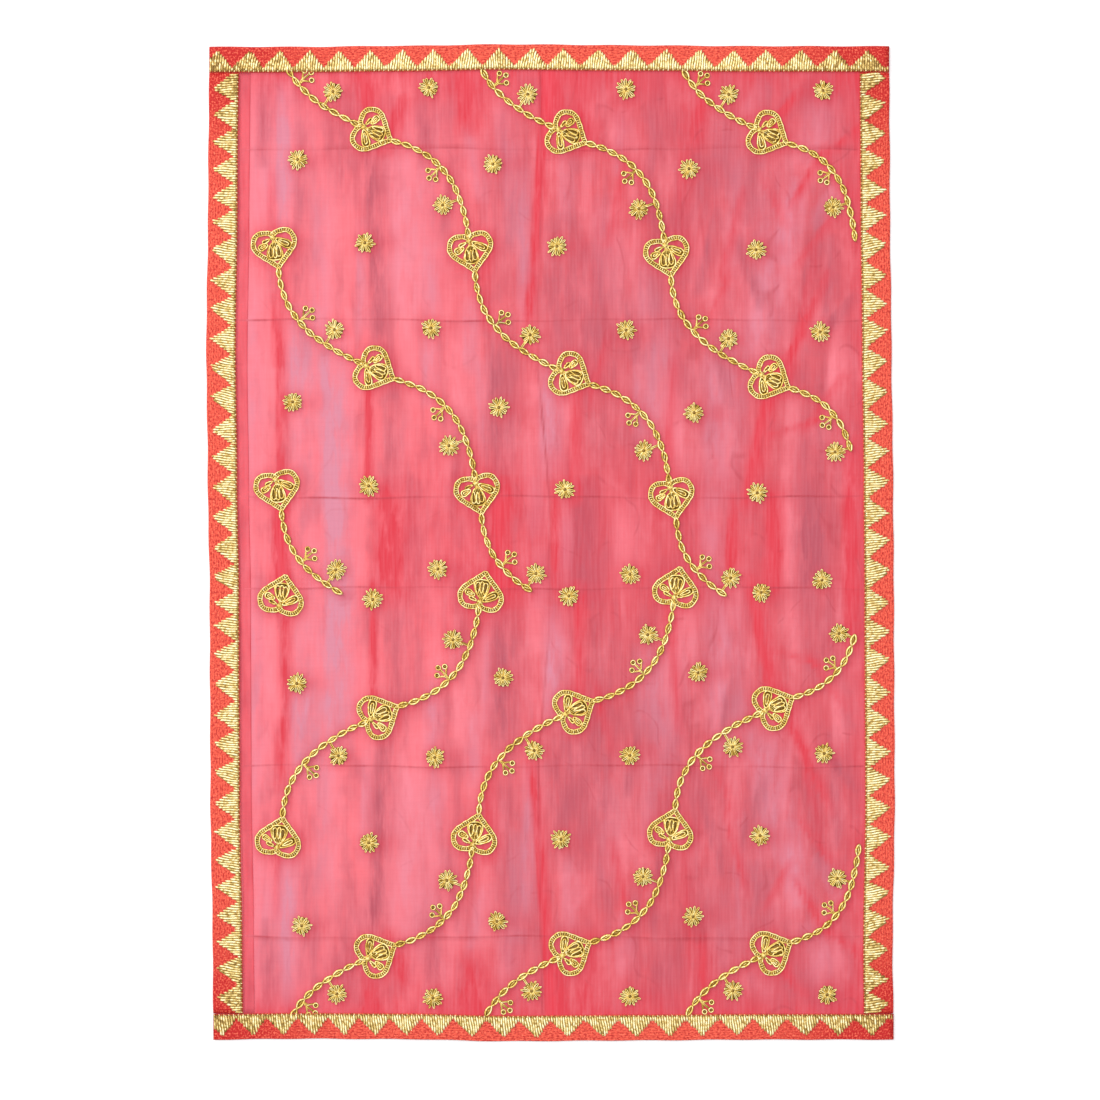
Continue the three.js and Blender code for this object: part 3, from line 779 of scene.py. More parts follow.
def edge_deepening(x, y):
    """The net is deeper red close to the lace, most of all along the top and the bottom."""
    end = np.minimum(top_edge(x) - y, y - bottom_edge(x)) - END_INSET
    right = right_edge(y) - x - RIGHT_INSET
    end = np.clip(end, 0, None)
    right = np.clip(right, 0, None)
    rules = ((END_RIM, end), (END_WASH, end), (RIGHT_RIM, right))
    return sum(rule["depth"] * np.exp(-away / rule["reach"]) for rule, away in rules)


net_x, net_y = net_places()
net_z = net_height(net_x, net_y)
flat = [part.ravel() for part in (net_x, net_y)]
tints = {tone: tone_field(tone, *flat) for tone in ("lilac", "blush", "deep", "dusk")}
shade = heart_shade(*flat)
tints["deep"] = tints["deep"] + HEART_DEEP * shade + edge_deepening(*flat)
tints["dusk"] = tints["dusk"] + HEART_DUSK * shade
tints["crease_shade"] = crease_field(*flat)
for tone in ("lilac", "blush"):
    tints[tone] = tints[tone] * np.clip(1 - shade - edge_deepening(*flat), 0, 1)
notes = {tone: np.clip(values, 0, 2) for tone, values in tints.items()}
net = shell_piece("organza_panel", net_x, net_y, net_z, net_z + NET_SHELL, net_material, notes)
print("net faces:", len(net.data.polygons))

# %% [markdown]
# The turned side. Down the left side the net's raw edge is folded in under the lace, and the doubled net
# shows beside it as a deeper strip. It is a narrow shell of its own on the net, in the same weave with
# less light through it, and its free edge has a thin line where the fold is pressed.

# %% The turned side
HEM_SHELL = 0.12
HEM_LIFT = 0.03
HEM_STEP = 6.0
PRESSED_FROM = 8.3


def side_stations():
    return np.linspace(0, 1, int(VEIL_LENGTH / HEM_STEP))


def hem_strip():
    shares = side_stations()
    offsets = np.array([0, 2, 4, 6, 8, 8.7, HEM_WIDTH])
    rough_y = -VEIL_LENGTH / 2 + shares * VEIL_LENGTH
    x = left_edge(rough_y)[None, :] + SIDE_LACE + SEAM_GAP + offsets[:, None]
    low = bottom_edge(x) + END_INSET
    high = top_edge(x) - END_INSET
    y = low + (high - low) * shares[None, :]
    z = net_top(x, y) + HEM_LIFT
    pressed = np.repeat((offsets > PRESSED_FROM).astype(float), len(shares))
    notes = {"deep": 0.3 + 0.25 * pressed, "crease_shade": crease_field(x, y)}
    return shell_piece("turned_side", x, y, z, z + HEM_SHELL, hem_material, notes)


hem = hem_strip()
print("turned side:", len(hem.data.polygons), "faces")

# %% [markdown]
# The lace ribbon. It is a firm woven ribbon of red yarn, with gold floats that make a row of triangles,
# points outward, on a gold band along the inner edge. Two lengths run across the ends over the corners,
# and two run up the sides between them.
#
# The ribbon is a shell with softly rounded rims. A short table of notes on its points says how far along
# and across the ribbon each one lies, so the weave follows the ribbon and not the room.

# %% The ribbon shells
RIBBON_FLOOR = 0.8
RIBBON_SHELL = 0.95
RIBBON_STEP = 5.0
BUTT_GAP = 1.6
CORNER_SHADE_REACH = 75
RIBBON_PROFILE = {
    "share": [0, 0.02, 0.06, 0.2, 0.4, 0.6, 0.8, 0.94, 0.98, 1],
    "height": [0.45, 0.8, 0.97, 1.0, 0.98, 1.0, 0.98, 0.97, 0.8, 0.45],
}


def end_frame(side):
    """Points on the top or bottom ribbon. s runs along it in mm, and t from its inner edge to its rim."""
    corner_y = side * VEIL_LENGTH / 2
    left = float(left_edge(corner_y))
    right = float(right_edge(corner_y))
    outer = top_edge if side > 0 else bottom_edge

    def at(s, t):
        x = np.asarray(s, float)
        return x, outer(x) - side * (END_LACE - np.asarray(t, float))

    return at, left, right, END_LACE


def side_frame(side):
    """Points on the left or right ribbon. s is the height up the cloth."""
    outer = right_edge if side > 0 else left_edge
    low = -VEIL_LENGTH / 2 + END_INSET + BUTT_GAP
    high = VEIL_LENGTH / 2 - END_INSET - BUTT_GAP

    def at(s, t):
        y = np.asarray(s, float)
        return outer(y) - side * (SIDE_LACE - np.asarray(t, float)), y

    return at, low, high, SIDE_LACE


RIBBONS = {
    "lace_top": end_frame(1),
    "lace_bottom": end_frame(-1),
    "lace_left": side_frame(-1),
    "lace_right": side_frame(1),
}


def shade_toward_corners(x, y):
    """1 at the cloth's corners, where painted shade makes the ribbon and its gold darkest, fading to 0."""
    reach = np.hypot(VEIL_WIDTH / 2 - np.abs(x), VEIL_LENGTH / 2 - np.abs(y))
    return np.exp(-((reach / CORNER_SHADE_REACH) ** 2))


def ribbon(name, material):
    at, low, high, width = RIBBONS[name]
    s = np.linspace(low, high, int((high - low) / RIBBON_STEP))
    shares = np.array(RIBBON_PROFILE["share"])
    heights = np.array(RIBBON_PROFILE["height"])
    s_grid, t_grid = np.meshgrid(s, shares * width, indexing="ij")
    t_grid = t_grid + 0.25 * np.sin(s_grid / 9 + 1.7) * (t_grid > 0.9 * width)
    x, y = at(s_grid, t_grid)
    swell = 0.12 * np.sin(s_grid / 23) + 0.08 * np.sin(s_grid / 7.3)
    z = RIBBON_FLOOR + (RIBBON_SHELL + swell) * heights[None, :]
    notes = {"along": s_grid, "across": t_grid, "corner_shade": shade_toward_corners(x, y)}
    return shell_piece(name + "_ribbon", x, y, np.full(x.shape, RIBBON_FLOOR), z, material, notes)


print("ribbon lengths in mm:", {name: round(high - low) for name, (_, low, high, _) in RIBBONS.items()})


# %% [markdown]
# Red ribbon material. Close up, the red is a mottle of bright and dark dashes that lie along the ribbon,
# with a ruled line near each rim where the weave is locked. Noise that is stretched along the ribbon
# gives the dashes, and two narrow bands give the locked lines. It is read from the notes along and
# across, in millimetres, so the same material fits all four lengths.

# %% Woven red ribbon
RIBBON_RED = linear(236, 88, 66)
RIBBON_DARK = linear(176, 18, 16)
RIBBON_ORANGE = linear(255, 122, 92)
RIBBON_CORNER_SHADE = linear(186, 8, 10)
DASH_STRETCH = (0.38, 0.8)
LIGHT_STRETCH = (0.8, 0.55)
LOCK_TURN = 2.9


def woven_red():
    material, surface = new_material("woven_red_ribbon")
    graph = Graph(material)
    where = graph.node("ShaderNodeCombineXYZ")
    graph.link(graph.note("along"), where.inputs[0])
    graph.link(graph.note("across"), where.inputs[1])

    def dashes(along, across, detail):
        stretch = graph.node("ShaderNodeMapping")
        graph.link(where.outputs[0], stretch.inputs["Vector"])
        stretch.inputs["Scale"].default_value = (along, across, 1)
        made = graph.node("ShaderNodeTexNoise")
        graph.link(stretch.outputs[0], made.inputs["Vector"])
        made.inputs["Scale"].default_value = 1.0
        made.inputs["Detail"].default_value = detail
        return made.outputs["Fac"]

    picks = dashes(*DASH_STRETCH, 2.0)
    colour = graph.mix(graph.fit(picks, 0.43, 0.62, 0.0, 0.85), RIBBON_RED, RIBBON_DARK)
    lights = dashes(*LIGHT_STRETCH, 1.0)
    colour = graph.mix(graph.fit(lights, 0.52, 0.72, 0.0, 0.8), colour, RIBBON_ORANGE)
    across = graph.note("across")
    lock = graph.math("SINE", graph.math("MULTIPLY", across, LOCK_TURN))
    colour = graph.mix(graph.fit(lock, 0.55, 1.0, 0.0, 0.3), colour, RIBBON_DARK)
    # Painted shade: the ribbon darkens in irregular patches towards the cloth's corners.
    corner_shading = graph.math("MULTIPLY", graph.note("corner_shade"), graph.fit(lights, 0.62, 0.4, 0.25, 1.6), clamp=True)
    colour = graph.mix(corner_shading, colour, RIBBON_CORNER_SHADE)
    graph.link(colour, surface.inputs["Base Color"])
    surface.inputs["Roughness"].default_value = 0.6
    surface.inputs["Specular IOR Level"].default_value = 0.3
    surface.inputs["Sheen Weight"].default_value = 0.15
    surface.inputs["Sheen Roughness"].default_value = 0.5
    ridges = graph.math("ADD", picks, graph.math("MULTIPLY", lock, 0.25))
    graph.bump(surface, ridges, 0.6, 0.0006)
    return material


ribbon_material = woven_red()
ribbons = {name: ribbon(name, ribbon_material) for name in RIBBONS}
print("ribbons:", ", ".join(f"{name} {len(piece.data.polygons)}" for name, piece in ribbons.items()))

# %% [markdown]
# Thread. All the gold is zari, a metal strip wound on a core, and all of it can be drawn as a tube along
# a path. A Skein gathers many tubes into one mesh. Blender's own curves would do for a few threads, but
# here there are thousands, so the points are worked out in arrays and joined.
#
# Each thread gets a shine of its own between 0 and 1, a painted highlight and glint, which the material
# turns into olive, amber, yellow or cream. Real zari glints stitch by stitch, and this painted glint is what
# makes it look stitched.

# %% A skein of threads
TWIST_FLICKER = 0.4
FLANK_SHINE = 0.42


class Skein:
    """Tubes and patches that become one mesh. z is the height over what the skein lies on."""

    def __init__(self):
        self.points = []
        self.faces = []
        self.shine = []
        self.count = 0

    def add(self, points, faces, shine):
        self.points.append(points)
        self.faces.extend((np.asarray(faces) + self.count).tolist())
        self.shine.append(np.broadcast_to(np.asarray(shine, float), (len(points),)))
        self.count += len(points)

    def tube(self, path, radius, shine, closed=False, sides=6, flat=1.0):
        """A round thread on a path of (x, y, z). flat squeezes its height.

        Its crest has the full shine, a painted highlight, and its flanks less, as painted shade, and the
        painted glint flickers along it with the twist.
        """
        path = np.asarray(path, float)
        count = len(path)
        twist = TWIST_FLICKER * rng.uniform(-1, 1, count)
        crest = np.sin(2 * np.pi * (np.arange(sides) + 0.5) / sides)
        fall = np.where(crest > 0.9, 1.0, np.where(crest > 0, FLANK_SHINE, 0.1))
        shine = (np.clip(shine + twist, 0, 1)[:, None] * fall[None, :]).ravel()
        if closed:
            run = np.roll(path, -1, 0) - np.roll(path, 1, 0)
        else:
            run = np.gradient(path, axis=0)
        side = np.stack([run[:, 1], -run[:, 0], np.zeros(count)], -1)
        side /= np.maximum(np.linalg.norm(side, axis=1, keepdims=True), 1e-9)
        turn = 2 * np.pi * (np.arange(sides) + 0.5) / sides
        width = np.broadcast_to(np.asarray(radius, float), (count,))[:, None]
        rings = path[:, None, :] + side[:, None, :] * (width * np.cos(turn))[:, :, None]
        rings[:, :, 2] += width * flat * np.sin(turn)
        spans = count if closed else count - 1
        here = np.arange(spans)[:, None] * sides
        after = (np.arange(1, spans + 1) % count)[:, None] * sides
        near = np.arange(sides)[None, :]
        far = (near + 1) % sides
        quads = np.stack([here + near, here + far, after + far, after + near], -1).reshape(-1, 4)
        self.add(rings.reshape(-1, 3), quads, shine)
        if not closed:
            base = self.count - count * sides
            self.faces.append((base + np.arange(sides)[::-1]).tolist())
            self.faces.append((base + (count - 1) * sides + np.arange(sides)).tolist())

    def patch(self, rim, low, thick, shine):
        """A thin flat patch inside a rim of (x, y), such as the backing that shows between threads, a sheet
        of painted shade.
        """
        rim = np.asarray(rim, float)
        count = len(rim)
        signed = np.sum(rim[:, 0] * np.roll(rim[:, 1], -1) - np.roll(rim[:, 0], -1) * rim[:, 1])
        if signed < 0:
            rim = rim[::-1]
        under = np.column_stack([rim, np.full(count, low)])
        over = np.column_stack([rim, np.full(count, low + thick)])
        middle = np.append(rim.mean(0), low + thick)[None, :]
        centre = np.append(rim.mean(0), low)[None, :]
        ring = np.arange(count)
        after = (ring + 1) % count
        faces = [
            np.stack([ring + count, after + count, np.full(count, 2 * count)], -1),
            np.stack([after, ring, np.full(count, 2 * count + 1)], -1),
            np.stack([ring, after, after + count], -1),
            np.stack([ring, after + count, ring + count], -1),
        ]
        self.add(np.concatenate([under, over, middle, centre]), np.concatenate(faces), shine)

    def piece(self, name, material, floor):
        points = np.concatenate(self.points)
        points[:, 2] += floor(points[:, 0], points[:, 1])
        return make_piece(name, points, self.faces, material, {"shine": np.concatenate(self.shine)})


def moved(path, place):
    """A path of (x, y, z) with its ground plan put through a placing rule."""
    path = np.asarray(path, float)
    plan = place(path[:, :2])
    return np.column_stack([plan, path[:, 2]])


print("a thread's flanks have", FLANK_SHINE, "of its crest's shine")

# %% [markdown]
# Zari material. It is metal, so most of what is seen is the softboxes above. The shine note picks the
# thread's tone and carries its painted light and shade: the backing between stitches, in painted shade, is
# nearly brown, and the crests, with a painted highlight, are pale gold. The roughness stays fairly high,
# because the wound strip scatters light, and a fine bump breaks it up further.

# %% Gold thread material


def zari(name, dark, amber, bright, pale):
    material, surface = new_material(name)
    graph = Graph(material)
    ramp = graph.node("ShaderNodeValToRGB")
    ramp.color_ramp.elements[0].position = 0.0
    ramp.color_ramp.elements[0].color = dark
    ramp.color_ramp.elements[1].position = 1.0
    ramp.color_ramp.elements[1].color = pale
    ramp.color_ramp.elements.new(0.35).color = amber
    ramp.color_ramp.elements.new(0.7).color = bright
    speckle = graph.noise((1500, 1500, 1500), detail=2.0)
    tone = graph.math("ADD", graph.note("shine"), graph.fit(speckle, 0.3, 0.7, -0.16, 0.16), clamp=True)
    graph.link(tone, ramp.inputs[0])
    graph.link(ramp.outputs[0], surface.inputs["Base Color"])
    surface.inputs["Metallic"].default_value = 0.35
    surface.inputs["Roughness"].default_value = 0.42
    surface.inputs["Specular IOR Level"].default_value = 0.5
    graph.bump(surface, speckle, 0.5, 0.0004)
    return material


zari_material = zari(
    "gold_zari", linear(112, 80, 22), linear(212, 166, 62), linear(250, 226, 128), linear(255, 249, 208)
)
float_material = zari(
    "pale_gold_floats",
    linear(136, 100, 40),
    linear(226, 190, 106),
    linear(252, 238, 174),
    linear(255, 251, 222),
)
print("gold materials ready")

# %% [markdown]
# The gold floats of the ribbon. Every gold yarn starts at the ribbon's inner edge and runs straight
# across it. Where it meets a triangle it runs on as far as the triangle's slope, so one rule makes the
# band and the triangles: reach is the band plus the height of the nearest triangle at that yarn.
#
# The points of the triangles were read off the ribbon one by one, because a woven ribbon that is sewn on
# by hand is eased here and stretched there. Each yarn dips under the weave every few millimetres, a
# little later than its neighbour did, which gives the slanting grain.

# %% Where the triangles point
TOP_POINTS = [
    -290.8, -263.8, -237.6, -210.6, -184.4, -157.4, -130.4, -102.5, -73.7, -44.9, -17.9,
    10.9, 40.5, 70.2, 99.8, 128.6, 158.3, 187, 217.6, 246.3, 276,
]
LEFT_POINTS = [
    396.5, 373, 348.6, 325, 301.5, 278.8, 253.5, 227.4, 202.1, 176.8, 150.6, 124.5, 98.3, 73, 47.7, 20.7,
]
LEFT_MIDDLE = [-4.9, -32.2, -53]
RIGHT_POINTS = [
    403.5, 380, 355.5, 331.1, 306.7, 284.1, 257.9, 232.6, 208.2, 182.9, 156.7, 129.7, 103.5, 78.3, 52.1, 25.9,
]
RIGHT_MIDDLE = [0.7, -26.6, -53.2]
TURNED_FROM = 60


def both_halves(points, middle):
    turned = [-y for y in points if y > TURNED_FROM]
    return sorted(points + middle + turned)


TRIANGLE_POINTS = {
    "lace_top": TOP_POINTS,
    "lace_bottom": [x + MIRROR_SHIFT for x in TOP_POINTS],
    "lace_left": both_halves(LEFT_POINTS, LEFT_MIDDLE),
    "lace_right": both_halves(RIGHT_POINTS, RIGHT_MIDDLE),
}
print("triangles:", {name: len(points) for name, points in TRIANGLE_POINTS.items()})

# %% The gold floats
YARN_PITCH = 2.1
YARN_RADIUS = 1.02
BAND_REACH = 4.6
POINT_MARGIN = 3.0
INNER_MARGIN = 1.1
FLOAT_LENGTH = 8.0
FLOAT_SHIFT = 2.7
WIDEST_HALF = 14.5
YARN_SPECKLE = 0.24
CORNER_SHADE_DEPTH = 0.36
INNER_EDGE_SHADE = 0.3
SELVEDGE_KNOT = 0.55
REACH_ERROR = 0.7
FLOAT_STEP = 1.3


def gold_floats(name):
    at, low, high, width = RIBBONS[name]
    points = np.array(TRIANGLE_POINTS[name])
    between = (points[1:] + points[:-1]) / 2
    skein = Skein()
    yarns = np.arange(low + 1.0, high - 1.0, YARN_PITCH)
    leans = rng.normal(0.08, 0.07, len(points))
    lefts = np.append(points[0] - WIDEST_HALF, between)
    rights = np.append(between, points[-1] + WIDEST_HALF)
    for number, s in enumerate(yarns):
        nearest = int(np.searchsorted(between, s))
        half = points[nearest] - lefts[nearest]
        if s >= points[nearest]:
            half = rights[nearest] - points[nearest]
        slope = max(0.0, 1 - abs(s - points[nearest]) / half)
        full = width - POINT_MARGIN - BAND_REACH
        reach = BAND_REACH + full * slope + rng.uniform(-REACH_ERROR, REACH_ERROR) * (slope > 0)
        reach = min(max(reach, BAND_REACH - 0.6), width - 1.2)
        steps = max(int((reach - INNER_MARGIN) / FLOAT_STEP), 3)
        t = np.linspace(INNER_MARGIN, reach, steps)
        bend = 0.25 * np.sin(t / 2.6 + number * 0.8) + leans[nearest] * (t - BAND_REACH) * (slope > 0)
        x, y = at(s + bend, t)
        phase = (t - number * FLOAT_SHIFT) / FLOAT_LENGTH * np.pi
        float_rise = np.abs(np.sin(phase)) ** 0.6
        rise = 0.35 + 0.4 * float_rise
        rise[0] = 0.1
        rise[-1] = 0.0
        # Painted shade towards the corners dims the gold floats there and roughens their speckle.
        corner_shade = float(shade_toward_corners(np.array(x[0]), np.array(y[0])))
        speckle = rng.uniform(-YARN_SPECKLE, YARN_SPECKLE, steps) * (1 + corner_shade)
        # Painted shade: a float is darker where it dips under the weave, and in its first stretch by the
        # inner edge.
        shine = rng.uniform(0.72, 1.0) - CORNER_SHADE_DEPTH * corner_shade - 0.3 * (1 - float_rise) + speckle
        shine = shine - INNER_EDGE_SHADE * (t < INNER_MARGIN + 1.2)
        taper = np.clip(np.minimum(np.arange(steps), np.arange(steps)[::-1]) * 0.5 + 0.65, 0, 1)
        skein.tube(np.column_stack([x, y, rise]), YARN_RADIUS * taper, shine, flat=0.5)
        x, y = at(s + np.array([-0.3, 0.3]), np.array([0.35, INNER_MARGIN + 0.7]))
        # Every other knot is a dark dot of painted shadow along the inner edge.
        knot_shine = -0.35 if number % 2 else rng.uniform(0.4, 0.9)
        skein.tube(np.column_stack([x, y, [0.45, 0.75]]), SELVEDGE_KNOT, knot_shine)
    # Painted shade: a dark gold patch under each triangle and its band, where the gaps between floats are in
    # shadow.
    for point, left, right in zip(points, lefts, rights):
        tip = (point, width - POINT_MARGIN - 2.2)
        outline = [(left, INNER_MARGIN + 0.3), (right, INNER_MARGIN + 0.3), (right - 0.6, BAND_REACH - 1)]
        outline += [tip, (left + 0.6, BAND_REACH - 1)]
        outline = np.clip(outline, [low + 1.5, 0], [high - 1.5, width])
        x, y = at(outline[:, 0], outline[:, 1])
        skein.patch(np.column_stack([x, y]), 0.02, 0.3, 0.25)
    floor = RIBBON_FLOOR + RIBBON_SHELL
    return skein.piece(name + "_gold", float_material, lambda x, y: floor)


gold_pieces = {name: gold_floats(name) for name in RIBBONS}
print("gold floats:", {name: len(piece.data.polygons) for name, piece in gold_pieces.items()})

# %% [markdown]
# The chain. The vine's stem is a chain stitch: two threads that swing apart and cross again, so that they
# leave a row of pointed eyes. Two waves in opposite step do this, and the height of each follows the
# wave's cosine, so one thread goes over at a crossing and under at the next. A dark patch in each eye is
# painted shade, the backing thread in shadow there.

# %% Points along a curve


def run_lengths(line):
    """How far along a line each of its points lies."""
    return np.append(0, np.cumsum(np.linalg.norm(np.diff(line, axis=0), axis=1)))


def spread(line, count):
    """Points at even spacing along a line, the directions there, and the line's length."""
    lengths = run_lengths(line)
    wanted = np.linspace(0, lengths[-1], count)
    points = np.column_stack([np.interp(wanted, lengths, line[:, k]) for k in (0, 1)])
    ways = np.gradient(points, axis=0)
    ways /= np.linalg.norm(ways, axis=1, keepdims=True)
    return points, ways, lengths[-1]


def curve_points(start, first, second, end, count):
    """The same along a curve with two handles."""
    share = np.linspace(0, 1, 241)[:, None]
    back = 1 - share
    curve = back**3 * start + 3 * back**2 * share * first + 3 * back * share**2 * second + share**3 * end
    return spread(curve, count)


def facing(start, end):
    """The direction from one point to another, and the direction to its left."""
    way = (end - start) / np.linalg.norm(end - start)
    return way, np.array([-way[1], way[0]])


def chain_plan(start, end, run):
    """The two handles of a chain's curve, from the directions in which it leaves and arrives."""
    span = np.linalg.norm(end - start)
    leave, arrive = (np.radians(run[key]) for key in ("leave", "arrive"))
    first = start + span * run["leave_reach"] * np.array([np.cos(leave), np.sin(leave)])
    second = end - span * run["arrive_reach"] * np.array([np.cos(arrive), np.sin(arrive)])
    return start, first, second, end


pointer, left_of_it = facing(np.array([0.0, 0.0]), np.array([3.0, 4.0]))
print("a line that faces", pointer, "has", left_of_it, "to its left")

# %% The chain stitch
LINK_PITCH = 10.2
LINK_SWING = 2.0
CHAIN_THREAD = 0.95
THREAD_SEAT = 0.55
LINK_STEPS = 8
LINK_SKEW = 0.25
CROSSING_RISE = 0.32
EYE_RIM = 0.75
FILLED_EYES = 0.85
BAR_THREAD = 0.5
worked_places = []


def stitch_chain(skein, plan, until, keep, place):
    length = curve_points(*plan, 41)[2]
    links = int(round(length / LINK_PITCH))
    points, ways, _ = curve_points(*plan, links * LINK_STEPS + 1)
    sides = np.column_stack([-ways[:, 1], ways[:, 0]])
    for link in range(int(round(links * until))):
        first = link * LINK_STEPS
        span = slice(first, first + LINK_STEPS + 1)
        middle = points[first + LINK_STEPS // 2]
        if not keep(place(middle[None, :])[0]):
            continue
        worked_places.extend(place(points[span][::4]))
        step = np.arange(LINK_STEPS + 1) / LINK_STEPS
        swing = LINK_SWING * rng.uniform(0.88, 1.1) * np.sin(np.pi * step) ** 0.85
        skew = rng.uniform(-LINK_SKEW, LINK_SKEW)
        for hand in (1, -1):
            shift = sides[span] * (hand * swing + skew * np.sin(np.pi * step))[:, None]
            over = CROSSING_RISE * hand * (-1) ** link * np.cos(np.pi * step)
            path = np.column_stack([points[span] + shift, THREAD_SEAT + 0.25 + over])
            width = CHAIN_THREAD * (0.82 + 0.18 * np.sin(np.pi * step))
            skein.tube(moved(path, place), width, rng.uniform(0.6, 1.0), sides=6)
        # Painted shade: a dark patch in each eye, the backing thread in shadow.
        eye = (swing + EYE_RIM)[:, None] * sides[span]
        rim = np.concatenate([points[span] + eye, (points[span] - eye)[::-1]])
        skein.patch(place(rim), 0.05, 0.15, 0.12)
        if rng.random() < FILLED_EYES:
            slant = rng.uniform(-0.9, 0.9)
            bar = np.array([-0.26, 0.0, 0.26]) * LINK_PITCH
            across = np.array([-1, 0.15, 1]) * slant
            way = ways[first + LINK_STEPS // 2]
            turned = np.array([-way[1], way[0]])
            path = middle + bar[:, None] * way + across[:, None] * turned
            path = np.column_stack([path, [0.45, 0.65, 0.45]])
            skein.tube(moved(path, place), BAR_THREAD, rng.uniform(0.5, 0.9))


print("a link is", LINK_PITCH, "mm long and", 2 * (LINK_SWING + CHAIN_THREAD), "mm wide")

# %% [markdown]
# The heart. Its outline is a ladder of gold: two cords side by side with short stitches across them, so
# that small windows are left between, dark with a strip of painted shade laid under them. Inside hangs a
# lotus of looped cord, with petals to both sides, a wide bud with three long loops in it, and a dense knot at
# the notch of the heart.
#
# A petal here is a loop from its root out to its tip and back. A short table gives each petal its root,
# its tip and its width, for a heart seen with its tip down. The resting hearts have it turned over.

# %% The heart and its lotus
HEART_ARCS = [
    ((0, 12.4), (2, 15), (5, 15.6), (10, 15.6)),
    ((10, 15.6), (15.7, 15.6), (18.2, 10), (18.2, 5.1)),
    ((18.2, 5.1), (18.2, -1), (6, -8.5), (0, -15.8)),
]
HEART_NOTCH = np.array(HEART_ARCS[0][0])
HEART_TIP = np.array(HEART_ARCS[2][3])
LADDER_HALF = 1.75
LADDER_CORD = 0.64
RUNG_PITCH = 1.95
RUNG_THREAD = 0.46
KNOT_THREAD = 0.6
STEM_THREAD = 0.46
# The last column says whether a petal is filled with a dark patch of painted shade.
PETAL_COLUMNS = ("root", "tip", "width", "thread", "backed")
LOTUS = rows_of(
    PETAL_COLUMNS,
    [
        ((2.2, 9.0), (14.4, 0.4), 7.2, 0.82, True),
        ((4.4, 7.4), (12.2, 1.9), 3.0, 0.68, False),
        ((-3.0, 9.4), (-9.6, 7.4), 3.0, 0.74, True),
        ((-5.6, 5.4), (-13.8, 2.6), 5.6, 0.8, True),
        ((-7.4, 4.8), (-12.0, 3.3), 2.0, 0.62, False),
        ((0.6, 6.4), (-1.4, -9.4), 15.2, 0.82, True),
        ((-3.4, 3.4), (-4.6, -6.4), 4.2, 0.7, False),
        ((3.0, 3.4), (2.4, -6.6), 4.2, 0.7, False),
        ((-0.1, 2.6), (-1.1, -7.4), 3.2, 0.7, False),
    ],
)


def petal(root, tip, width, count=19):
    """A loop that leaves its root, rounds its blunt tip and comes back, widest well past the middle."""
    root = np.asarray(root, float)
    tip = np.asarray(tip, float)
    turn = np.linspace(0, 2 * np.pi, count, endpoint=False)
    out = (1 - np.sign(np.cos(turn)) * np.abs(np.cos(turn)) ** 0.85) / 2
    aside = width / 2 * np.sign(np.sin(turn)) * np.abs(np.sin(turn)) ** 0.8 * (0.5 + 0.6 * out)
    return root + out[:, None] * (tip - root) + aside[:, None] * facing(root, tip)[1]


def heart_line():
    """The whole heart's middle line, from the notch down its right side and up its left."""
    side = []
    for arc in HEART_ARCS:
        side.append(curve_points(*[np.array(p, float) for p in arc], 15)[0][:-1])
    side = np.concatenate(side)
    left = side[:0:-1] * [-1, 1]
    return np.concatenate([side, [HEART_TIP], left])


def even_line(line, pitch):
    """The same line with its points a given pitch apart, and the sideways direction at each."""
    points, ways, _ = spread(line, int(run_lengths(line)[-1] / pitch) + 1)
    return points, np.column_stack([ways[:, 1], -ways[:, 0]])


print("a heart has", len(LOTUS), "petal loops and is", 2 * HEART_ARCS[1][2][0], "mm wide at its cords")

# %% Stitch a heart


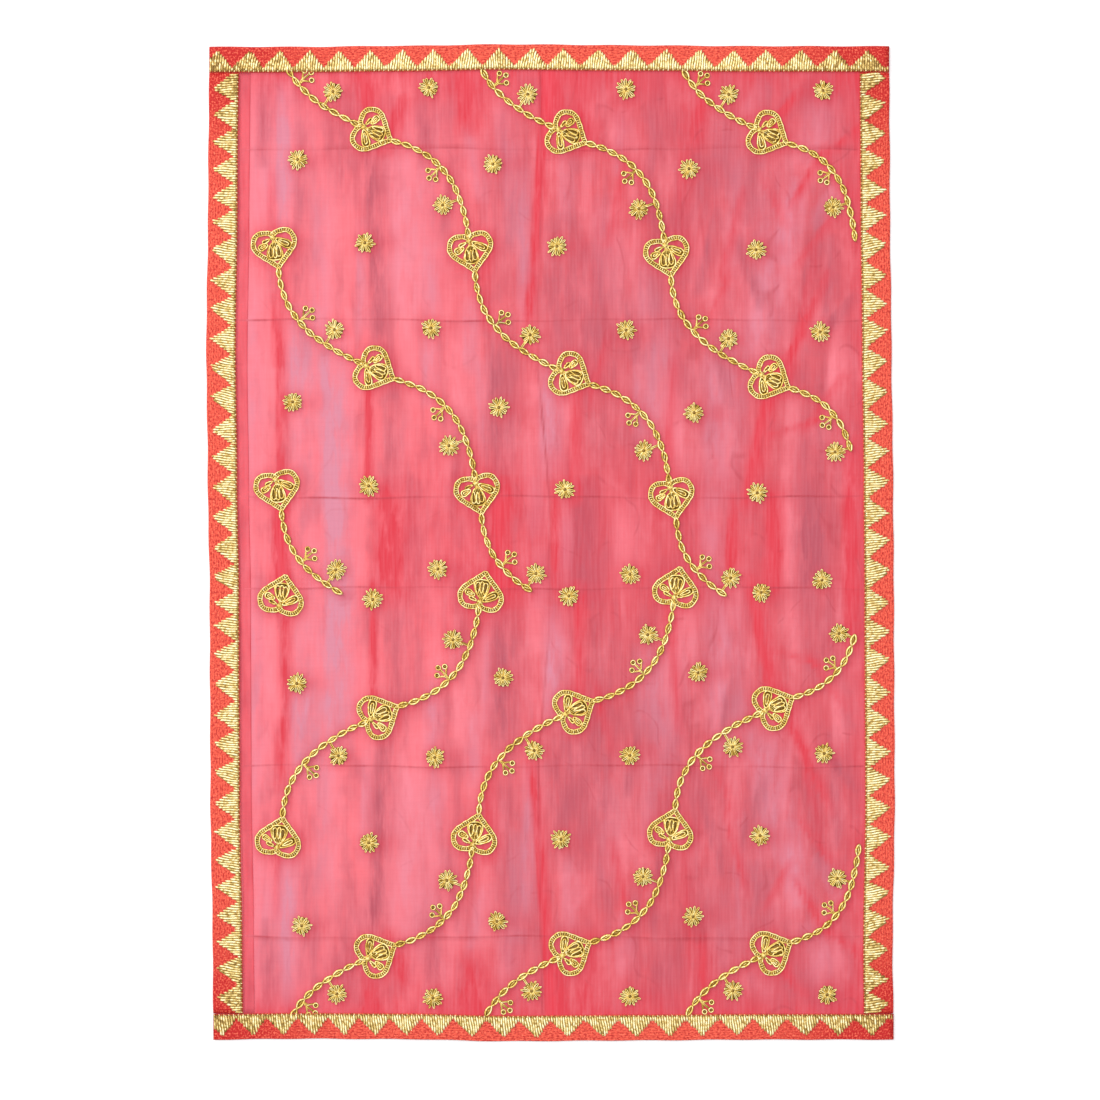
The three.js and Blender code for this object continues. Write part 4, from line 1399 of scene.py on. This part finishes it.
def stitch_heart(skein, place, turned_over):
    line = heart_line()
    worked_places.extend(place(line[::3]))
    for hand, shine in ((1, 0.78), (-1, 0.92)):
        points, sides = even_line(np.concatenate([line, line[:1]]), 1.5)
        wobble = 1 + 0.08 * np.sin(np.arange(len(points)) * 1.3)
        path = points + sides * (hand * LADDER_HALF * wobble)[:, None]
        skein.tube(moved(np.column_stack([path, np.full(len(path), THREAD_SEAT)]), place), LADDER_CORD, shine)
    points, sides = even_line(np.concatenate([line, line[:1]]), RUNG_PITCH)
    for point, side in zip(points, sides):
        ends = np.array([-0.9, 0, 0.9]) * LADDER_HALF
        path = np.column_stack([point + ends[:, None] * side, [0.45, 0.8, 0.45]])
        skein.tube(moved(path, place), RUNG_THREAD * rng.uniform(0.8, 1.2), rng.uniform(0.6, 1.0))
    # Painted shade: a dark flat strip under the ladder, seen through its windows.
    ladder_shade_line, sides = even_line(np.concatenate([line, line[:1]]), 2.6)
    floor = np.column_stack([ladder_shade_line, np.full(len(ladder_shade_line), 0.12)])
    skein.tube(moved(floor, place), LADDER_HALF + LADDER_CORD + 0.3, 0.12, sides=4, flat=0.07)
    hand = -1 if turned_over else 1
    for row in LOTUS:
        loop = petal(row["root"], row["tip"], row["width"] * rng.uniform(0.92, 1.08)) * [hand, 1]
        loop = loop + rng.uniform(-0.18, 0.18, loop.shape)
        # Painted shade: the marked petals get a dark patch inside them.
        if row["backed"]:
            skein.patch(place(loop), 0.05, 0.16, 0.02)
        height = 0.6 + 0.15 * np.sin(np.linspace(0, 4 * np.pi, len(loop)))
        path = moved(np.column_stack([loop, height]), place)
        skein.tube(path, row["thread"], rng.uniform(0.58, 0.9), closed=True)
    for turn in np.linspace(0.2, np.pi - 0.2, 6):
        across = np.array([np.cos(turn), np.sin(turn)]) * 2.6
        knot = np.array([0, 10.4]) + np.array([-1, 0, 1])[:, None] * across
        path = moved(np.column_stack([knot, [0.5, 1.35, 0.5]]), place)
        skein.tube(path, KNOT_THREAD, rng.uniform(0.45, 0.8))
    for shift in (-1.2, 0, 1.2):
        stem = np.array([(shift * 0.4, 9), (shift, 6.0), (shift * 1.3, 2.6)])
        path = moved(np.column_stack([stem, [0.7, 1.0, 0.75]]), place)
        skein.tube(path, STEM_THREAD, 0.6)


print("rungs round a heart:", len(even_line(heart_line(), RUNG_PITCH)[0]))

# %% [markdown]
# The flowers and the berries. A flower is a ring of narrow loops that all start near its middle, worked
# over each other, so the middle is dense and dark gold, with painted shade among the crossed loops and a dark
# disc of painted shade under them, and the rim is open. A berry spray has three small rings on short stalks,
# each filled with a dark patch of painted shade. No two flowers on the cloth are alike, so each one is drawn
# with its own turn and its own small errors.

# %% Flowers and berries
FLOWER_REACH = 9.4
FLOWER_LOOPS = 14
FLOWER_HEART_SHINE = 0.78
BERRY_RING = 2.0
LOOP_THREAD = 0.45
BERRY_THREAD = 0.62
BERRY_STALK = 0.48
FLOWER_STALK = 0.5


def ring(middle, radius, count=9):
    turn = np.linspace(0, 2 * np.pi, count, endpoint=False)
    return np.asarray(middle) + radius * np.column_stack([np.cos(turn), np.sin(turn)])


def stitch_flower(skein, middle, place, reach=FLOWER_REACH, start=0.0):
    middle = np.asarray(middle, float)
    worked_places.extend(place(ring(middle, 5, 5)))
    for number in range(FLOWER_LOOPS):
        angle = start + 2 * np.pi * (number + rng.uniform(-0.22, 0.22)) / FLOWER_LOOPS
        way = np.array([np.cos(angle), np.sin(angle)])
        long = reach * rng.uniform(0.78, 1.04)
        loop = petal(middle + 1.4 * way, middle + long * way, 1.5 + rng.uniform(-0.2, 0.4), 10)
        away = np.linalg.norm(loop - middle, axis=1)
        height = 0.5 + 0.75 * np.exp(-((away / 5.2) ** 2)) + 0.25 * (number % 2)
        path = moved(np.column_stack([loop, height]), place)
        # Painted shade: the loops are darker near the middle, where they cross over each other.
        inner = FLOWER_HEART_SHINE + (1 - FLOWER_HEART_SHINE) * ease((away - 2.5) / 5)
        skein.tube(path, LOOP_THREAD, rng.uniform(0.75, 1.1) * inner, closed=True)
    # Painted shade: a dark disc under the loops and a dark dot at the middle.
    skein.patch(place(ring(middle, 0.8 * reach, 14)), 0.05, 0.15, 0.05)
    skein.patch(place(ring(middle, 1.3, 7)), 1.3, 0.35, 0.05)


def stitch_berries(skein, root, head, place):
    """Three rings round the head of a spray, on stalks from its root on the chain."""
    way, turned = facing(root, head)
    for out, aside in ((4.6, 0.4), (1.2, 5.2), (0.6, -5.0)):
        berry = head + out * way + aside * turned
        path = ring(berry, BERRY_RING, 10)
        # Painted shade: a dark patch inside each berry ring.
        skein.patch(place(path), 0.05, 0.15, 0.03)
        path = moved(np.column_stack([path, np.full(len(path), 0.6)]), place)
        skein.tube(path, BERRY_THREAD, rng.uniform(0.75, 1.0), closed=True)
        stalk = np.array([root, (root + head) / 2 + 0.6 * turned * np.sign(aside), berry - 1.8 * way])
        for shift in (-0.5, 0.5):
            path = moved(np.column_stack([stalk + shift * turned, [0.6, 0.75, 0.6]]), place)
            skein.tube(path, BERRY_STALK, rng.uniform(0.35, 0.8))


def stitch_stalk(skein, root, head, place):
    way, turned = facing(root, head)
    for shift in (-0.6, 0.6):
        stalk = np.array([root, (root + head) / 2, head - 6 * way]) + shift * turned
        path = moved(np.column_stack([stalk, [0.7, 0.8, 0.6]]), place)
        skein.tube(path, FLOWER_STALK, rng.uniform(0.5, 0.9))


print("a flower has", FLOWER_LOOPS, "loops and is", 2 * FLOWER_REACH, "mm across")

# %% [markdown]
# The vines. Each vine strings its hearts together: a chain falls from an upright heart, or reaches out
# from a resting one, to the notch of the next. The rows are the ones that the solids were made from, so
# the thread lies just where they are. A vine that meets the lace runs under it, and one that meets the
# middle of the cloth ends there.

# %% How the vines run
VINES = {
    "a": (["s1", "u2", "s5", "u6"], "edge", "seam"),
    "b": (["s2", "u3", "s6"], "edge", "flower"),
    "c": (["s3"], "edge", "edge"),
    "d": (["u1", "s4", "u5"], "heart", "seam"),
    "e": (["u4"], "heart", "seam"),
}
FALL = {"leave": -88, "arrive": -23.5, "leave_reach": 0.4, "arrive_reach": 0.39}
REACH_OUT = {"leave": -14, "arrive": -82.5, "leave_reach": 0.45, "arrive_reach": 0.41}
FALL_STEP = np.array([72.4, -82.8])
EDGE_STEP = np.array([60, -85.5])
FLOWER_END = 0.74
SEAM_LINE = -47
SPRAY_COLUMNS = ("berry_share", "berry_aside", "flower_share", "flower_aside")
FALL_SPRAYS = dict(zip(SPRAY_COLUMNS, (0.43, 10.6, 0.68, 15)))
REACH_SPRAYS = dict(zip(SPRAY_COLUMNS, (0.42, -9.4, 0.7, -15.6)))
EDGE_SPRAYS = dict(zip(SPRAY_COLUMNS, (0.42, -9, 0.7, -13.5)))


def on_heart(key):
    """The rule that puts a point of a heart, seen tip down, in its place on the cloth."""
    x, y, heading = HEARTS[key]
    turn = np.radians(heading + 90)
    spin = np.array([[np.cos(turn), np.sin(turn)], [-np.sin(turn), np.cos(turn)]])
    return lambda plan: np.atleast_2d(plan) @ spin + [x, y]


def chains_of(vine):
    keys, begins, ends = VINES[vine]
    chains = []
    if begins == "edge":
        notch = on_heart(keys[0])(HEART_NOTCH)[0]
        chains.append((notch - FALL_STEP, notch, FALL, FALL_SPRAYS, 1, False))
    for number, key in enumerate(keys):
        falling = HEARTS[key][2] == UPRIGHT
        start = on_heart(key)(HEART_TIP)[0]
        last = number + 1 == len(keys)
        at_edge = last and not falling
        if last:
            end = start + (EDGE_STEP if at_edge else FALL_STEP)
        else:
            end = on_heart(keys[number + 1])(HEART_NOTCH)[0]
        sprays = EDGE_SPRAYS if at_edge else FALL_SPRAYS if falling else REACH_SPRAYS
        until = FLOWER_END if last and ends == "flower" else 1
        chains.append((start, end, FALL if falling else REACH_OUT, sprays, until, last and ends == "seam"))
    return chains


def on_open_net(point, margin):
    x, y = point
    side = min(x - float(left_edge(y)) - LEFT_INSET, float(right_edge(y)) - x - RIGHT_INSET)
    end = min(float(top_edge(x)) - y, y - float(bottom_edge(x))) - END_INSET
    return min(side, end) > margin


print("chains in each vine:", {vine: len(chains_of(vine)) for vine in VINES})

# %% Stitch the vines


def stitch_vine(vine, lower):
    turn_over = (lambda plan: plan * [1, -1] + [MIRROR_SHIFT, 0]) if lower else (lambda plan: plan)
    skein = Skein()
    for start, end, run, sprays, until, open_end in chains_of(vine):
        if open_end and lower:
            continue
        plan = chain_plan(start, end, run)

        def keep(point, open_end=open_end):
            return on_open_net(point, -2) and (not open_end or point[1] > SEAM_LINE + 3)

        stitch_chain(skein, plan, until, keep, turn_over)
        points, ways, _ = curve_points(*plan, 101)
        for kind in ("berry", "flower"):
            spot = int(round(100 * sprays[kind + "_share"]))
            root = points[spot]
            aside = sprays[kind + "_aside"]
            head = root + aside * np.array([-ways[spot][1], ways[spot][0]])
            if not on_open_net(turn_over(head[None, :])[0], 1):
                continue
            if kind == "berry":
                stitch_berries(skein, root, head, turn_over)
            else:
                stitch_stalk(skein, root, head, turn_over)
                stitch_flower(skein, head, turn_over, FLOWER_REACH, rng.uniform(0, 1))
    for key in VINES[vine][0]:
        rule = on_heart(key)
        stitch_heart(skein, lambda plan, rule=rule: turn_over(rule(plan)), HEARTS[key][2] == RESTING)
    half = "lower" if lower else "upper"
    return skein.piece(f"zari_vine_{vine}_{half}", zari_material, net_top)


vine_pieces = {}
for lower in (False, True):
    for vine in VINES:
        node = f"vine_{vine}_{'lower' if lower else 'upper'}"
        vine_pieces[node] = stitch_vine(vine, lower)
print("vine faces:", {name: len(piece.data.polygons) for name, piece in vine_pieces.items()})

# %% The free flowers, each where its solid is
flower_pieces = {}
for node, middle in flower_places.items():
    skein = Skein()
    stitch_flower(skein, middle, lambda plan: plan, FLOWER_REACH, rng.uniform(0, 1))
    flower_pieces[node] = skein.piece("zari_" + node, zari_material, net_top)
print("free flowers:", len(flower_pieces))

# %% [markdown]
# Stitching pulls the net together, so close to the work it is denser and a deeper red, and the faint shadow
# that the work throws is painted into the same red. The places that were stitched are known now. Each point
# of the net takes a share of that red by how near the work is, with the whole share set a little down and
# right, where the painted shadow falls.

# %% Deepen the net beside the work, with its painted shadow
PULL_AND_SHADOW_REACH = 6.5
SHADOW_SHIFT = np.array([1.6, -1.2])
PULL_AND_SHADOW_SHARE = 0.75


def pull_and_shadow_share(x, y):
    """How near the work a place on the net is, from 0 to 1."""
    net_plan = np.column_stack([x, y])
    work = np.array(worked_places) + SHADOW_SHIFT
    share = np.zeros(len(net_plan))
    for first in range(0, len(net_plan), 2000):
        part = net_plan[first : first + 2000]
        away = ((part[:, None, :] - work[None, :, :]) ** 2).sum(-1).min(1)
        share[first : first + 2000] = np.exp(-away / PULL_AND_SHADOW_REACH**2)
    return PULL_AND_SHADOW_SHARE * share


pulled_and_shadowed = np.tile(pull_and_shadow_share(*flat), 2)
layer = net.data.attributes.new("pulled_and_shadowed", "FLOAT", "POINT")
layer.data.foreach_set("value", pulled_and_shadowed.astype(np.float32))
print("stitched places:", len(worked_places))

# %% [markdown]
# Each piece is parented to the empty of the body it moves with, and the solid that it stands for, where it
# has one, is hidden. The veil has no joints, so everything rides on the one body.


def dress(piece, node):
    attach(piece, "root")
    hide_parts(node)


dress(net, "net_panel")
dress(hem, "hem_left")
for name, piece in ribbons.items():
    dress(piece, name)
for name, piece in gold_pieces.items():
    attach(piece, "root")
for name, piece in {**vine_pieces, **flower_pieces}.items():
    dress(piece, name)

# %% [markdown]
# The table and the light. The cloth lies on a plain white table, which the light washes out to white. A
# wide softbox overhead gives even light with hardly a shadow, and gives the metal thread something bright
# to mirror. A second one from the upper left is weaker and lower, so the folds get a lit and a shaded
# side. The camera looks straight down from far away, so nothing is drawn in perspective.

# %% The table
TABLE_SIZE = 6.0
table_mesh = bpy.data.meshes.new("table")
reach = TABLE_SIZE / 2
corners = [(-reach, -reach, 0), (reach, -reach, 0), (reach, reach, 0), (-reach, reach, 0)]
table_mesh.from_pydata(corners, [], [(0, 1, 2, 3)])
table = bpy.data.objects.new("table", table_mesh)
bpy.context.scene.collection.objects.link(table)
table_material, table_surface = new_material("white_table")
table_graph = Graph(table_material)
grain = table_graph.noise((90, 90, 90))
table_colour = table_graph.mix(grain, linear(250, 250, 250), linear(246, 246, 246))
table_graph.link(table_colour, table_surface.inputs["Base Color"])
table_surface.inputs["Roughness"].default_value = 0.9
table_surface.inputs["Specular IOR Level"].default_value = 0.1
table_mesh.materials.append(table_material)
print("table:", TABLE_SIZE, "m across")

# %% The light
LIGHTS = [
    ("overhead_softbox", (0, 0, 4.2), 6.0, 212),
    ("upper_left_softbox", (-3.0, 2.6, 2.0), 1.6, 108),
]
for name, place, size, power in LIGHTS:
    lamp = bpy.data.lights.new(name, "AREA")
    lamp.shape = "SQUARE"
    lamp.size = size
    lamp.energy = power
    holder = bpy.data.objects.new(name, lamp)
    holder.location = place
    aim = -holder.location
    holder.rotation_euler = aim.to_track_quat("-Z", "Y").to_euler()
    bpy.context.scene.collection.objects.link(holder)
world = bpy.data.worlds.new("studio")
world.use_nodes = True
world.node_tree.nodes["Background"].inputs["Color"].default_value = (0.95, 0.97, 1.0, 1)
world.node_tree.nodes["Background"].inputs["Strength"].default_value = 0.33
bpy.context.scene.world = world
bpy.context.scene.view_settings.view_transform = "Standard"
print("lights:", len(LIGHTS))

# %% The camera
PICTURE_SPAN = 0.9592
PICTURE_MIDDLE = (-0.00044, -0.00632)
CAMERA_HEIGHT = 3.0
camera_data = bpy.data.cameras.new("camera")
camera_data.sensor_width = 36
camera_data.lens = camera_data.sensor_width * CAMERA_HEIGHT / PICTURE_SPAN
camera = bpy.data.objects.new("camera", camera_data)
camera.location = (*PICTURE_MIDDLE, CAMERA_HEIGHT)
bpy.context.scene.collection.objects.link(camera)
bpy.context.scene.camera = camera
print("lens:", round(camera_data.lens, 1), "mm")
